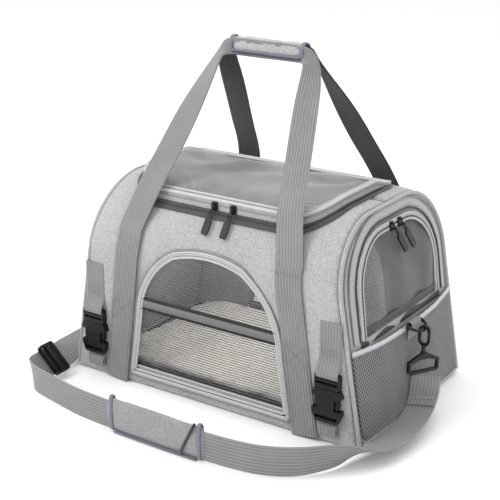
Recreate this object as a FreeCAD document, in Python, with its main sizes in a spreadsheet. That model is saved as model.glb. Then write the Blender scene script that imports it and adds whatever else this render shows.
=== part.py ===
import FreeCAD, Part
import math
import os
import re
import Sketcher
from FreeCAD import Placement, Rotation, Vector

# A soft-sided pet carrier: a padded tunnel body with leaning arched ends, a mesh lid, a mesh
# door in each end, twin handle loops, side-release buckles and a clip-on shoulder strap.
# Millimetres, +Z up, +X to the right, the front towards -Y. The origin is under the middle.

SIZES = [
    # body
    ("body_length", 440, "along the base"),
    ("body_depth", 276, "front panel to back panel"),
    ("body_height", 270, "base to the flat top"),
    ("shoulder_radius", 92, "round the front and back shoulders"),
    ("end_lean", 46, "how far each end leans in over the body's height"),
    ("wall", 4, "padded fabric wall"),
    ("middle_y", 4.6, "shifts the body back so that the buckles are counted in the depth"),
    ("base_corner", 10, "corner radius of the base"),
    # windows in the front and the back panel
    ("window_low", 10, "bottom of the window"),
    ("window_foot", 123, "half width at the bottom"),
    ("window_waist", 110.5, "half width where the sides begin to curve"),
    ("window_waist_up", 100, "height of that place"),
    ("window_crown", 52, "half width where the top arc begins"),
    ("window_crown_up", 196, "height of that place"),
    ("window_side_arc", 114, "radius of the sides"),
    ("window_top_arc", 168, "radius of the top"),
    ("window_hem", 9, "width of the window binding"),
    ("mesh_thick", 1.2, "thickness of mesh cloth"),
    ("reflector_low", 110, "bottom of the reflective strip"),
    ("reflector_high", 128, "top of the reflective strip"),
    # padded end panels, in the frame of the leaning end
    ("end_face", 4, "how far the end stands proud of the seam"),
    ("pipe_radius", 2.5, "piping round the end"),
    ("door_half", 104, "half width of the door opening"),
    ("door_low", 128, "bottom of the door opening"),
    ("door_high", 252, "top of the door opening"),
    ("door_arc", 74, "corner radius of the door opening"),
    ("door_hem", 9.5, "binding and zip tape round the door"),
    ("door_gap", 0.5, "play round the door"),
    # mesh pocket and its elastic edge
    ("pocket_half", 130, "half width of the pocket"),
    ("pocket_low", 20, "bottom of the pocket"),
    ("pocket_high", 104, "top of the pocket cloth"),
    ("pocket_out", 10, "outer face of the pocket"),
    ("elastic_high", 113, "top of the elastic edge"),
    # lid
    ("lid_half", 148, "half width of the lid"),
    ("lid_front", 105, "from the middle to the front edge of the lid"),
    ("lid_back", 62, "from the middle to the lid's hinge"),
    ("lid_corner", 50, "corner radius of the lid"),
    ("lid_wall", 5, "zip band with its binding"),
    ("lid_rise", 17, "height of the zip band"),
    ("lid_sag", 2, "how high the lid mesh lies over the opening"),
    # webbing handles
    ("webbing", 36, "width of the handle webbing"),
    ("webbing_thick", 1.8, "thickness of the handle webbing"),
    ("strap_foot", 149, "middle of a strap at the base"),
    ("strap_slope", 0.139, "how far a strap leans in for each unit of height"),
    ("strap_leave", 21, "angle round the shoulder where a strap leaves the panel"),
    ("knee_y", 111, "a handle passes in front of the lid here"),
    ("knee_z", 272, "height of that place"),
    ("grip_z", 441, "height of the middle of the grip"),
    ("grip_half", 66, "half length of the grip"),
    ("grip_radius", 15, "radius of the padded grip"),
    # side-release buckles
    ("buckle_x", 181, "middle of a buckle"),
    ("buckle_web", 30, "width of the buckle webbing"),
    ("buckle_wide", 40, "width of the socket"),
    ("buckle_low", 42, "foot of the socket"),
    ("buckle_tall", 34, "height of the socket"),
    ("buckle_deep", 9, "thickness of the socket"),
    # D-ring, snap hook and swivel eye at each end
    ("ring_out", 19, "ring bar, out from the seam of the end"),
    ("ring_up", 118, "ring bar, up the leaning end"),
    ("ring_radius", 17, "middle radius of the D"),
    ("ring_wire", 2, "wire radius of the D"),
    ("ring_tilt", 70, "how far the D stands out from hanging"),
    ("hook_slot", 8.6, "width inside the hook"),
    ("hook_rod", 3.7, "thickness of the hook"),
    ("hook_inside", 20.6, "height inside the hook"),
    ("eye_turn", 30, "how far the swivel eye is turned"),
    ("strap_wide", 38, "width of the shoulder strap"),
    ("strap_thick", 2, "thickness of the shoulder strap"),
    # removable floor
    ("board_thick", 3, "stiff board"),
    ("pad_half_long", 188, "half length of the fleece pad"),
    ("pad_half_deep", 124, "half depth of the fleece pad"),
    ("pad_thick", 30, "thickness of the fleece pad"),
]

os.makedirs("parts", exist_ok=True)
doc = FreeCAD.newDocument("PetCarrier")
sheet = doc.addObject("Spreadsheet::Sheet", "Sizes")
for row, (alias, number, note) in enumerate(SIZES, start=1):
    sheet.set("A%d" % row, note)
    sheet.set("B%d" % row, str(number))
    sheet.setAlias("B%d" % row, alias)
doc.recompute()

FUNCTIONS = {"sin", "cos", "tan", "sqrt", "atan", "asin", "acos"}
pieces = []


# ---------------------------------------------------------------- helpers

def size(text):
    """The number that a piece of arithmetic on the sheet's sizes stands for."""
    return float(sheet.evalExpression(str(text)))


def bound(text):
    """The same arithmetic as another object writes it, each size read from the sheet."""
    def name(found):
        word = found.group(0)
        return word if word in FUNCTIONS else "Sizes." + word
    return re.sub(r"[a-z][a-z_]+", name, str(text))


def new_body(label, placement=None):
    """An empty PartDesign body, listed as one piece of the carrier."""
    body = doc.addObject("PartDesign::Body", label)
    body.Label = label
    body.Placement = placement or upright(0, 0, 0)
    pieces.append(body)
    return body


def plane_sketch(body, plane, level):
    """A sketch on one of the body's own origin planes, moved along its normal."""
    origin = [f for f in body.Origin.OriginFeatures if f.Role == plane][0]
    sketch = body.newObject("Sketcher::SketchObject", body.Label + "_sketch")
    sketch.AttachmentSupport = [(origin, "")]
    sketch.MapMode = "FlatFace"
    sketch.setExpression("AttachmentOffset.Base.z", bound(level))
    return sketch


def draw(sketch, corners, closed=True):
    """Draw one outline. A corner is (across, up), or (across, up, radius, turn) where the edge
    that ends there is an arc, turn +1 running anticlockwise and -1 clockwise."""
    spots = [Vector(size(corner[0]), size(corner[1]), 0) for corner in corners]
    edges = []
    for index, corner in enumerate(corners):
        if index == 0 and not closed:
            continue
        start = spots[index - 1]
        end = spots[index]
        if len(corner) == 2:
            geometry = sketch.addGeometry(Part.LineSegment(start, end), False)
            edges.append((geometry, 1, 2, corner))
            continue
        radius = size(corner[2])
        chord = end - start
        left = Vector(-chord.y, chord.x, 0).normalize()
        rise = math.sqrt(max(radius ** 2 - (chord.Length / 2) ** 2, 0))
        centre = (start + end) / 2 + left * (corner[3] * rise)
        first, last = (start, end) if corner[3] > 0 else (end, start)
        angles = [math.atan2(p.y - centre.y, p.x - centre.x) for p in (first, last)]
        circle = Part.Circle(centre, Vector(0, 0, 1), radius)
        geometry = sketch.addGeometry(Part.ArcOfCircle(circle, *angles), False)
        number = sketch.addConstraint(Sketcher.Constraint("Radius", geometry, radius))
        sketch.setExpression("Constraints[%d]" % number, bound(corner[2]))
        edges.append((geometry, 1, 2, corner) if corner[3] > 0 else (geometry, 2, 1, corner))
    pin_corners(sketch, edges, corners, spots, closed)


def pin_corners(sketch, edges, corners, spots, closed):
    """Join the edges of an outline and fix each of its corners to the sheet."""
    for index, (geometry, start, end, corner) in enumerate(edges):
        if index or closed:
            before = edges[index - 1]
            sketch.addConstraint(Sketcher.Constraint("Coincident", before[0], before[2], geometry, start))
        pin(sketch, geometry, end, corner)
    if not closed:
        pin(sketch, edges[0][0], edges[0][1], corners[0])


def pin(sketch, geometry, point, corner):
    """Fix one point of an outline across and up from the sketch's origin."""
    for kind, text in (("DistanceX", corner[0]), ("DistanceY", corner[1])):
        number = sketch.addConstraint(Sketcher.Constraint(kind, geometry, point, size(text)))
        sketch.setExpression("Constraints[%d]" % number, bound(text))


def disc(sketch, across, up, radius):
    """Draw one circle."""
    centre = Vector(size(across), size(up), 0)
    circle = sketch.addGeometry(Part.Circle(centre, Vector(0, 0, 1), size(radius)), False)
    pin(sketch, circle, 3, (across, up))
    number = sketch.addConstraint(Sketcher.Constraint("Radius", circle, size(radius)))
    sketch.setExpression("Constraints[%d]" % number, bound(radius))


def add(body, plane, start, length, *outlines):
    """Pad outlines from start, length along the plane's normal."""
    sketch = plane_sketch(body, plane, start)
    for outline in outlines:
        draw(sketch, outline)
    pad = body.newObject("PartDesign::Pad", body.Label + "_pad")
    pad.Profile = sketch
    pad.setExpression("Length", bound(length))
    doc.recompute()
    return pad


def cut(body, plane, start, length, *outlines):
    """Cut outlines away between start and start + length along the plane's normal."""
    before = body.Shape.Volume
    sketch = plane_sketch(body, plane, "%s + %s" % (start, length))
    for outline in outlines:
        draw(sketch, outline)
    return finish_cut(body, sketch, length, before)


def finish_cut(body, sketch, length, before):
    """Cut a sketch back against its plane's normal and make sure that something went."""
    pocket = body.newObject("PartDesign::Pocket", body.Label + "_pocket")
    pocket.Profile = sketch
    pocket.setExpression("Length", bound(length))
    doc.recompute()
    if body.Shape.Volume > before - 0.01:
        raise RuntimeError("a pocket cut nothing from " + body.Label)
    return pocket


def keep_only(body, plane, start, length, outline):
    """Cut away everything outside one outline."""
    cut(body, plane, start, length, box_outline(-400, 400, -400, 500), outline)


def box_outline(left, right, low, high):
    """A plain rectangle."""
    return [(left, low), (right, low), (right, high), (left, high)]


def round_outline(left, right, low, high, radius):
    """A rectangle with four round corners, drawn anticlockwise."""
    return [
        ("%s + %s" % (left, radius), low),
        ("%s - %s" % (right, radius), low),
        (right, "%s + %s" % (low, radius), radius, 1),
        (right, "%s - %s" % (high, radius)),
        ("%s - %s" % (right, radius), high, radius, 1),
        ("%s + %s" % (left, radius), high),
        (left, "%s - %s" % (high, radius), radius, 1),
        (left, "%s + %s" % (low, radius)),
        ("%s + %s" % (left, radius), low, radius, 1),
    ][1:]


def cropped_outline(left, right, low, high, crop):
    """A rectangle with its corners cut off."""
    return [
        ("%s + %s" % (left, crop), low),
        ("%s - %s" % (right, crop), low),
        (right, "%s + %s" % (low, crop)),
        (right, "%s - %s" % (high, crop)),
        ("%s - %s" % (right, crop), high),
        ("%s + %s" % (left, crop), high),
        (left, "%s - %s" % (high, crop)),
        (left, "%s + %s" % (low, crop)),
    ]


def wire_outline(across, up, radius):
    """Six-sided section of a round wire about a point."""
    turns = [math.radians(30 + 60 * number) for number in range(6)]
    return [("%s + %s * %.4f" % (across, radius, math.cos(turn)), "%s + %s * %.4f" % (up, radius, math.sin(turn)))
            for turn in turns]


def arch_outline(half, low, high, radius):
    """An upright arch: flat foot, straight sides, round shoulders and a flat top."""
    half, low, high, radius = ["(%s)" % text for text in (half, low, high, radius)]
    return [
        ("-%s" % half, low),
        ("-%s" % half, "%s - %s" % (high, radius)),
        ("%s - %s" % (radius, half), high, radius, -1),
        ("%s - %s" % (half, radius), high),
        (half, "%s - %s" % (high, radius), radius, -1),
        (half, low),
    ]


def window_outline(inset):
    """The D of a window, moved in by inset on every side."""
    return [
        ("-(window_foot - %s)" % inset, "window_low + %s" % inset),
        ("window_foot - %s" % inset, "window_low + %s" % inset),
        ("window_waist - %s" % inset, "window_waist_up"),
        ("window_crown - 0.5 * %s" % inset, "window_crown_up - %s" % inset, "window_side_arc - %s" % inset, 1),
        ("-(window_crown - 0.5 * %s)" % inset, "window_crown_up - %s" % inset, "window_top_arc - %s" % inset, 1),
        ("-(window_waist - %s)" % inset, "window_waist_up", "window_side_arc - %s" % inset, 1),
    ]


def wall_outline(front, inner, outer, foot, reach):
    """Section of a skin over the front (front = -1) or back (front = 1) of the tunnel, between two
    distances from its outer face, from foot up and over the shoulder to reach from the middle."""
    side = "%d * " % front
    centre = side + "(body_depth / 2 - shoulder_radius)"
    spring = "body_height - shoulder_radius"
    turn = front
    return [
        (side + "(body_depth / 2 + %s)" % outer, foot),
        (side + "(body_depth / 2 + %s)" % outer, spring),
        (centre, "body_height + %s" % outer, "shoulder_radius + %s" % outer, turn),
        (reach, "body_height + %s" % outer),
        (reach, "body_height + %s" % inner),
        (centre, "body_height + %s" % inner),
        (side + "(body_depth / 2 + %s)" % inner, spring, "shoulder_radius + %s" % inner, -turn),
        (side + "(body_depth / 2 + %s)" % inner, foot),
    ]


def upright(across, back, up, turn=0):
    """Where an upright piece stands, from the middle of the body, turned about the vertical."""
    return Placement(Vector(across, back + size("middle_y"), up), Rotation(Vector(0, 0, 1), turn))


def on_end(side, local=None):
    """Where a piece of a leaning end stands: x out of the end, y across it, z up it."""
    lean = -math.degrees(math.atan(size("end_lean / body_height")))
    turned = Rotation(Vector(0, 0, 1), 0 if side > 0 else 180)
    start = Placement(Vector(0, size("middle_y"), 0), turned)
    seat = Placement(Vector(size("body_length / 2"), 0, 0), Rotation(Vector(0, 1, 0), lean))
    return start.multiply(seat).multiply(local or Placement())


def end_point(out, up):
    """A point of the right-hand end, given out of and up the leaning end."""
    lean = math.atan(size("end_lean / body_height"))
    across = size("body_length / 2") + size(out) * math.cos(lean) - size(up) * math.sin(lean)
    height = size(up) * math.cos(lean) + size(out) * math.sin(lean)
    return across, height


def side_name(side):
    return "right" if side > 0 else "left"


# ---------------------------------------------------------------- body of the carrier

def base_panel():
    body = new_body("base_panel")
    outline = round_outline("-body_length / 2", "body_length / 2", "-body_depth / 2", "body_depth / 2", "base_corner")
    add(body, "XY_Plane", 0, "wall", outline)


def tunnel_panel(label, front):
    """Front or back panel: up from the base, over the shoulder and to the middle of the top."""
    body = new_body(label)
    add(body, "YZ_Plane", "-body_length / 2", "body_length", wall_outline(front, "(-wall)", "0", "wall", "0"))
    start = "(-body_depth / 2 - 1)" if front > 0 else "(-1)"
    length = "(body_depth / 2 + 2)"
    trims = []
    for side in ("", "-"):
        trims.append([
            (side + "(body_length / 2 + end_lean * 5 / body_height)", "-5"),
            (side + "(body_length / 2 + 10)", "-5"),
            (side + "(body_length / 2 + 10)", "body_height + 5"),
            (side + "(body_length / 2 - end_lean * (body_height + 5) / body_height)", "body_height + 5"),
        ])
    cut(body, "XZ_Plane", start, length, *trims)
    cut(body, "XZ_Plane", start, length, window_outline("0"))
    opening = round_outline("-(lid_half - 8)", "(lid_half - 8)", "-(lid_front - 8)", "(lid_back - 2)", "(lid_corner - 8)")
    cut(body, "XY_Plane", "body_height / 2", "body_height", opening)


def window(label, front):
    """Mesh of a window, over the front and up on to the shoulder."""
    body = new_body(label)
    mesh = wall_outline(front, "(-2 - mesh_thick)", "(-2)", "wall", "%d" % (20 * front))
    add(body, "YZ_Plane", "-window_foot - 5", "2 * window_foot + 10", mesh)
    start = "(-body_depth / 2 - 1)" if front > 0 else "(-1)"
    keep_only(body, "XZ_Plane", start, "(body_depth / 2 + 2)", window_outline("0.2"))
    return body


def window_binding(label, front):
    """Bound hem that overlaps the edge of a window."""
    body = new_body(label)
    hem = wall_outline(front, "0", "1.6", "wall", "%d" % (20 * front))
    add(body, "YZ_Plane", "-window_foot - 10", "2 * window_foot + 20", hem)
    start = "(-body_depth / 2 - 3)" if front > 0 else "(-1)"
    length = "(body_depth / 2 + 4)"
    keep_only(body, "XZ_Plane", start, length, window_outline("(-window_hem / 2)"))
    cut(body, "XZ_Plane", start, length, window_outline("(window_hem / 2)"))
    return body


def reflective_strip():
    body = new_body("reflective_strip")
    reach = "(window_waist - window_hem / 2 - 4)"
    outline = box_outline("-" + reach, reach, "reflector_low", "reflector_high")
    add(body, "XZ_Plane", "body_depth / 2 - 2", "1.6", outline)


def end_panel(side):
    """Padded panel of an end, with its piping and the door opening."""
    body = new_body("end_panel_" + side_name(side), on_end(side))
    slope = "sqrt(1 + end_lean * end_lean / body_height / body_height)"
    half = "body_depth / 2 - wall - 0.5"
    high = "(body_height - wall) * %s - 0.5" % slope
    radius = "shoulder_radius - wall - 0.5"
    low = "wall + 0.8"
    add(body, "YZ_Plane", "-wall", "wall + end_face", arch_outline(half, low, high, radius))
    cut(body, "YZ_Plane", "-wall - 1", "(wall + end_face + 2)",
        arch_outline("door_half", "door_low", "door_high", "door_arc"))
    spine = plane_sketch(body, "YZ_Plane", "pipe_radius")
    route = arch_outline("body_depth / 2 - pipe_radius", low, "body_height * %s - pipe_radius" % slope,
                         "shoulder_radius - pipe_radius")
    draw(spine, route, closed=False)
    section = plane_sketch(body, "XY_Plane", low)
    draw(section, wire_outline("pipe_radius", "-(body_depth / 2 - pipe_radius)", "pipe_radius"))
    pipe = body.newObject("PartDesign::AdditivePipe", body.Label + "_piping")
    pipe.Profile = section
    pipe.Spine = (spine, ["Edge%d" % number for number in range(1, len(route))])
    doc.recompute()


def pocket(side):
    """Flat mesh pocket, open at the top."""
    body = new_body("pocket_" + side_name(side), on_end(side))
    outline = round_outline("(-pocket_half)", "pocket_half", "pocket_low", "(pocket_high + 30)", "12")
    add(body, "YZ_Plane", "end_face", "pocket_out - end_face", outline)
    inside = round_outline("(-pocket_half + mesh_thick)", "(pocket_half - mesh_thick)",
                           "(pocket_low + mesh_thick)", "(pocket_high + 28)", "11")
    cut(body, "YZ_Plane", "end_face - 1", "(pocket_out - end_face - mesh_thick + 1)", inside)
    cut(body, "YZ_Plane", "0", "20", box_outline(-150, 150, "pocket_high", "pocket_high + 40"))


def pocket_edge(side):
    """Elastic edge of the pocket, with the webbing tab that carries the ring."""
    body = new_body("pocket_edge_" + side_name(side), on_end(side))
    face = "pocket_out + 1"
    add(body, "YZ_Plane", "end_face", face + " - end_face",
        box_outline("(-pocket_half - 0.5)", "(pocket_half + 0.5)", "pocket_high", "elastic_high"))
    cut(body, "YZ_Plane", "end_face - 1", "(pocket_out - end_face - mesh_thick + 1)",
        box_outline("(-pocket_half + mesh_thick)", "(pocket_half - mesh_thick)", "pocket_high - 2", "elastic_high + 2"))
    tab_half = "(ring_radius - 4)"
    add(body, "XZ_Plane", "-" + tab_half, "2 * " + tab_half,
        [(face, "pocket_high - 6"), (face + " + 2", "pocket_high - 6"), (face + " + 2", "pocket_high + 4"),
         ("ring_out", "ring_up"), (face, "ring_up - 4")])
    loop = plane_sketch(body, "XZ_Plane", "-" + tab_half)
    draw(loop, wire_outline("ring_out", "ring_up", "(ring_wire + 2.6)"))
    pad = body.newObject("PartDesign::Pad", body.Label + "_loop")
    pad.Profile = loop
    pad.setExpression("Length", bound("2 * " + tab_half))
    doc.recompute()
    before = body.Shape.Volume
    bore = plane_sketch(body, "XZ_Plane", tab_half + " + 1")
    disc(bore, "ring_out", "ring_up", "ring_wire + 0.4")
    finish_cut(body, bore, "2 * " + tab_half + " + 2", before)


# ---------------------------------------------------------------- doors and lid

def door(side):
    """Mesh door and its bound frame with the zip coil round it."""
    name = side_name(side)
    frame = new_body("door_frame_" + name, on_end(side))
    outer = arch_outline("door_half - door_gap", "door_low + door_gap + 0.3", "door_high - door_gap", "door_arc - door_gap")
    inner = arch_outline("door_half - door_hem", "door_low + door_hem", "door_high - door_hem", "door_arc - door_hem")
    coil = arch_outline("door_half - 4", "door_low - 20", "door_high - 4", "door_arc - 4")
    add(frame, "YZ_Plane", "1.5", "5", outer)
    cut(frame, "YZ_Plane", "0", "10", inner)
    cut(frame, "YZ_Plane", "end_face", "4", coil)
    mesh = new_body("door_mesh_" + name, on_end(side))
    add(mesh, "YZ_Plane", "2.5", "mesh_thick", inner)


def lid_skin(label, low, high, inset, front_inset):
    """A skin that follows the top of the tunnel under the outline of the lid."""
    body = new_body(label)
    add(body, "YZ_Plane", "-lid_half - 5", "2 * lid_half + 10",
        wall_outline(-1, low, high, "body_height - shoulder_radius - 1", "lid_back"))
    half = "(lid_half - %s)" % inset
    outline = round_outline("-" + half, half, "-(lid_front - %s)" % front_inset, "(lid_back + 80)",
                            "(lid_corner - %s)" % inset)
    keep_only(body, "XY_Plane", "body_height / 2", "body_height", outline)
    return body


def lid():
    """Zip band of the lid, a U that is open at the hinge, and the mesh inside it."""
    band = lid_skin("lid_band", "0.6", "lid_rise", "0", "0")
    half = "(lid_half - lid_wall)"
    inside = round_outline("-" + half, half, "-(lid_front - lid_wall)", "(lid_back + 80)", "(lid_corner - lid_wall)")
    cut(band, "XY_Plane", "body_height / 2", "body_height", inside)
    wedge = [
        ("-20", "body_height + lid_rise + 0.5"),
        ("lid_back + 1", "body_height + 6"),
        ("lid_back + 1", "body_height + lid_rise + 4"),
        ("-20", "body_height + lid_rise + 4"),
    ]
    cut(band, "YZ_Plane", "(-lid_half - 5)", "(2 * lid_half + 10)", wedge)
    lid_skin("lid_mesh", "lid_sag", "(lid_sag + mesh_thick)", "lid_wall", "lid_wall")


def slider(label, placement):
    """Zip slider: a rounded plate with a raised bridge for the pull."""
    body = new_body(label, placement)
    plate = [("-4.5", "-3"), ("-2.5", "-6"), ("2.5", "-6"), ("4.5", "-3"), ("4.5", "4"), ("3", "6"), ("-3", "6"), ("-4.5", "4")]
    add(body, "XZ_Plane", "0", "2.4", plate)
    add(body, "XZ_Plane", "2.4", "2.2", box_outline("-1.2", "1.2", "-4.5", "-2.7"))
    add(body, "XZ_Plane", "2.4", "2.2", box_outline("-1.2", "1.2", "2.7", "4.5"))
    add(body, "XZ_Plane", "4.6", "1", box_outline("-1.2", "1.2", "-4.5", "4.5"))


def pull(label, placement, length):
    """Zip pull: a rounded tab that hangs from the slider's bridge by a narrow link."""
    body = new_body(label, placement)
    tab = cropped_outline("(-4.5)", "4.5", "(-%s)" % length, "(-10)", "2")
    add(body, "XZ_Plane", "-1.2", "2.4", tab)
    link = cropped_outline("(-2.4)", "2.4", "(-11)", "1.6", "0.8")
    add(body, "XZ_Plane", "-0.8", "1.6", link)
    cut(body, "XZ_Plane", "-2", "4", cropped_outline("(-1.5)", "1.5", "(-8)", "0.6", "0.6"))


def lid_zip():
    """Two sliders side by side on the front of the lid, their pulls lying down the shoulder."""
    for side, across in ((-1, -9), (1, 19)):
        name = side_name(side)
        back = -size("lid_front") - 0.3
        slider("lid_slider_" + name, upright(across, back, 259))
        seat = upright(across, back - 7.7, 255.5)
        tilt = Placement(Vector(0, 0, 0), Rotation(Vector(1, 0, 0), -34))
        pull("lid_pull_" + name, seat.multiply(tilt), 32)


def door_zip(side):
    """Two sliders at the crown of a door, their pulls lying across the mesh."""
    turn = Placement(Vector(0, 0, 0), Rotation(Vector(0, 0, 1), 90))
    for number, across in ((1, -8), (2, 13)):
        tag = "%s_%d" % (side_name(side), number)
        seat = Placement(Vector(6.8, across, size("door_high") - 7), Rotation())
        slider("door_slider_" + tag, on_end(side, seat.multiply(turn)))
        hang = Placement(Vector(13.6, across, size("door_high") - 10.5), Rotation())
        slope = Placement(Vector(0, 0, 0), Rotation(Vector(0, 1, 0), -33 * side))
        pull("door_pull_" + tag, on_end(side, hang.multiply(turn).multiply(slope)), 40)


# ---------------------------------------------------------------- webbing and handles

def sewn_strap(side, front):
    """Webbing sewn up a panel from the base to where the handle leaves it."""
    label = "%s_strap_%s" % ("front" if front < 0 else "back", side_name(side))
    body = new_body(label)
    flip = "%d * " % front
    centre = "(body_depth / 2 - shoulder_radius)"
    spring = "body_height - shoulder_radius"
    outer = "(shoulder_radius + webbing_thick)"
    section = [
        (flip + "(body_depth / 2)", "1"),
        (flip + "(body_depth / 2)", spring),
        (flip + "(%s + shoulder_radius * cos(strap_leave))" % centre,
         spring + " + shoulder_radius * sin(strap_leave)", "shoulder_radius", front),
        (flip + "(%s + %s * cos(strap_leave))" % (centre, outer), spring + " + %s * sin(strap_leave)" % outer),
        (flip + "(body_depth / 2 + webbing_thick)", spring, outer, -front),
        (flip + "(body_depth / 2 + webbing_thick)", "1"),
    ]
    add(body, "YZ_Plane", "-220", "440", section)
    low = "%d * strap_foot" % side
    top = 240
    lean = "%d * (strap_foot - strap_slope * %d)" % (side, top)
    strip = [
        (low + " - webbing / 2", "0"),
        (low + " + webbing / 2", "0"),
        (lean + " + webbing / 2", str(top)),
        (lean + " - webbing / 2", str(top)),
    ]
    start = "(-body_depth / 2 - 3)" if front > 0 else "(-1)"
    keep_only(body, "XZ_Plane", start, "(body_depth / 2 + 4)", strip)


def handle_root():
    """Where a handle leaves its panel, just past the sewn webbing, as distances from the middle."""
    reach = size("shoulder_radius + webbing_thick / 2")
    across = size("strap_foot - strap_slope * (body_height - shoulder_radius + shoulder_radius * sin(strap_leave))")
    back = size("body_depth / 2 - shoulder_radius + %s * cos(strap_leave) - 0.5 * sin(strap_leave)" % reach)
    up = size("body_height - shoulder_radius + %s * sin(strap_leave) + 0.5 * cos(strap_leave)" % reach)
    return across, back, up


def flat_section(centre, wide, along, thick, through):
    """A closed rectangle about a centre: wide along one direction, thick through another."""
    side = Vector(*along).normalize() * (wide / 2)
    depth = Vector(*through).normalize() * (thick / 2)
    middle = Vector(*centre)
    corners = [middle - side - depth, middle + side - depth, middle + side + depth, middle - side + depth]
    return Part.makePolygon(corners + corners[:1])


def handle_loop(label, front):
    """One carrying loop: two webbing legs that gather into a bar inside the grip."""
    across, back, up = handle_root()
    thick = size("webbing_thick")
    wide = size("webbing")
    grip_half = size("grip_half")
    grip_z = size("grip_z")
    knee = (size("knee_y"), size("knee_z"))
    share = (knee[1] - up) / (grip_z - up)
    knee_x = across + (grip_half - across) * share
    solids = []
    for side in (-1, 1):
        start = (side * across, front * back, up)
        bend = (side * knee_x, front * (knee[0] + thick / 2), knee[1])
        neck = (side * (grip_half + 4), front * 11.0, grip_z - 18)
        end = (side * (grip_half - 8), front * 4.3, grip_z)
        flat = (grip_z - up, 0, side * (across - grip_half))
        radial = (0, size("cos(strap_leave)"), front * size("sin(strap_leave)"))
        sections = [
            flat_section(start, wide, (1, 0, 0), thick, radial),
            flat_section(bend, wide, flat, thick, (0, 1, 0.5 * front)),
            flat_section(neck, 24, flat, 3.0, (0, 1, 0.5 * front)),
            flat_section(end, 18, (0.2, 0, side), 7.4, (0, 1, 0)),
        ]
        solids.append(skin(sections))
    bar = Part.makeBox(2 * (grip_half - 8), 7.4, 18)
    bar.translate(Vector(-(grip_half - 8), front * 4.3 - 3.7, grip_z - 9))
    shape = bar.fuse(solids).removeSplitter()
    loop = doc.addObject("Part::Feature", label)
    loop.Label = label
    loop.Shape = shape
    loop.Placement = upright(0, 0, 0)
    pieces.append(loop)


def grip():
    """Padded wrap, fixed to the back loop and open to the front so that the loops can part."""
    body = new_body("grip_wrap")
    half = "(grip_half - 10)"
    ring = plane_sketch(body, "YZ_Plane", "-" + half)
    disc(ring, "0", "grip_z", "grip_radius")
    pad = body.newObject("PartDesign::Pad", "grip_wrap_pad")
    pad.Profile = ring
    pad.setExpression("Length", bound("2 * " + half))
    doc.recompute()
    mouth = round_outline("(-grip_radius - 6)", "8", "(grip_z - 10.5)", "(grip_z + 10.5)", "1")
    cut(body, "YZ_Plane", "-%s - 1" % half, "(2 * %s + 2)" % half, mouth)


# ---------------------------------------------------------------- side-release buckles

def buckle_webbing(side):
    """Webbing behind a buckle, sewn to the front panel at both ends."""
    body = new_body("buckle_webbing_" + side_name(side))
    half = "buckle_web / 2"
    middle = "%d * buckle_x" % side
    add(body, "XZ_Plane", "body_depth / 2", "1.6", box_outline(middle + " - " + half, middle + " + " + half, "14", "160"))


def buckle_socket(side):
    """Female half: a hollow shell with side windows and a bar slot at its foot."""
    place = upright(side * size("buckle_x"), -size("body_depth / 2") - 1.9, size("buckle_low"))
    body = new_body("buckle_socket_" + side_name(side), place)
    half = "buckle_wide / 2"
    shell = [
        ("-(%s - 5)" % half, "-9"),
        ("%s - 5" % half, "-9"),
        (half, "3"),
        (half, "buckle_tall - 8"),
        ("%s - 3" % half, "buckle_tall"),
        ("-(%s - 3)" % half, "buckle_tall"),
        ("-" + half, "buckle_tall - 8"),
        ("-" + half, "3"),
    ]
    add(body, "XZ_Plane", "0", "buckle_deep", shell)
    cavity = box_outline("(3 - %s)" % half, "(%s - 3)" % half, "(1.6 - buckle_deep)", "(-1.6)")
    cut(body, "XY_Plane", "3", "buckle_tall", cavity)
    for edge in ("", "-"):
        window_side = [
            (edge + "(%s + 1)" % half, "8"),
            (edge + "(%s - 9)" % half, "8"),
            (edge + "(%s - 9)" % half, "22"),
            (edge + "(%s + 1)" % half, "25"),
        ]
        cut(body, "XZ_Plane", "-1", "(buckle_deep + 2)", window_side)
    slot = box_outline("-buckle_web / 2", "buckle_web / 2", "-5", "-1")
    cut(body, "XZ_Plane", "-1", "(buckle_deep + 2)", slot)


def buckle_plug(side):
    """Male half: a head with the webbing slot, two barbed arms and a centre guide."""
    place = upright(side * size("buckle_x"), -size("body_depth / 2") - 1.9, size("buckle_low + buckle_tall"))
    body = new_body("buckle_plug_" + side_name(side), place)
    half = "buckle_wide / 2"
    head = cropped_outline("(-%s + 3)" % half, "(%s - 3)" % half, "0.4", "20", "2")
    add(body, "XZ_Plane", "0.6", "buckle_deep - 1.2", head)
    cut(body, "XZ_Plane", "-1", "(buckle_deep + 2)",
        box_outline("-buckle_web / 2", "buckle_web / 2", "6", "9.5"),
        box_outline("-buckle_web / 2", "buckle_web / 2", "12.5", "16"))
    for edge in ("", "-"):
        arm = [
            (edge + "(%s - 5)" % half, "1"),
            (edge + "(%s - 8.5)" % half, "1"),
            (edge + "(%s - 8.5)" % half, "-22"),
            (edge + "(%s - 6)" % half, "-28"),
            (edge + "(%s - 3.5)" % half, "-21"),
            (edge + "(%s - 3.5)" % half, "-13"),
            (edge + "(%s - 6)" % half, "-10"),
        ]
        add(body, "XZ_Plane", "2.2", "buckle_deep - 4.4", arm)
    add(body, "XZ_Plane", "2.6", "buckle_deep - 5.2", box_outline("-2", "2", "-24", "1"))


# ---------------------------------------------------------------- ring, snap hook and eye

def ring_foot():
    """Middle of the wire at the foot of the D, across and up."""
    across, up = end_point("ring_out", "ring_up")
    tilt = math.radians(size("ring_tilt"))
    return across + size("ring_radius") * math.sin(tilt), up - size("ring_radius") * math.cos(tilt)


def turned_side(side, across, up, turn=0):
    """A place on the right-hand side, or the same place turned round to the left-hand side."""
    half_turn = Placement(Vector(0, size("middle_y"), 0), Rotation(Vector(0, 0, 1), 0 if side > 0 else 180))
    return half_turn.multiply(Placement(Vector(across, 0, up), Rotation(Vector(0, 0, 1), turn)))


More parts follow.
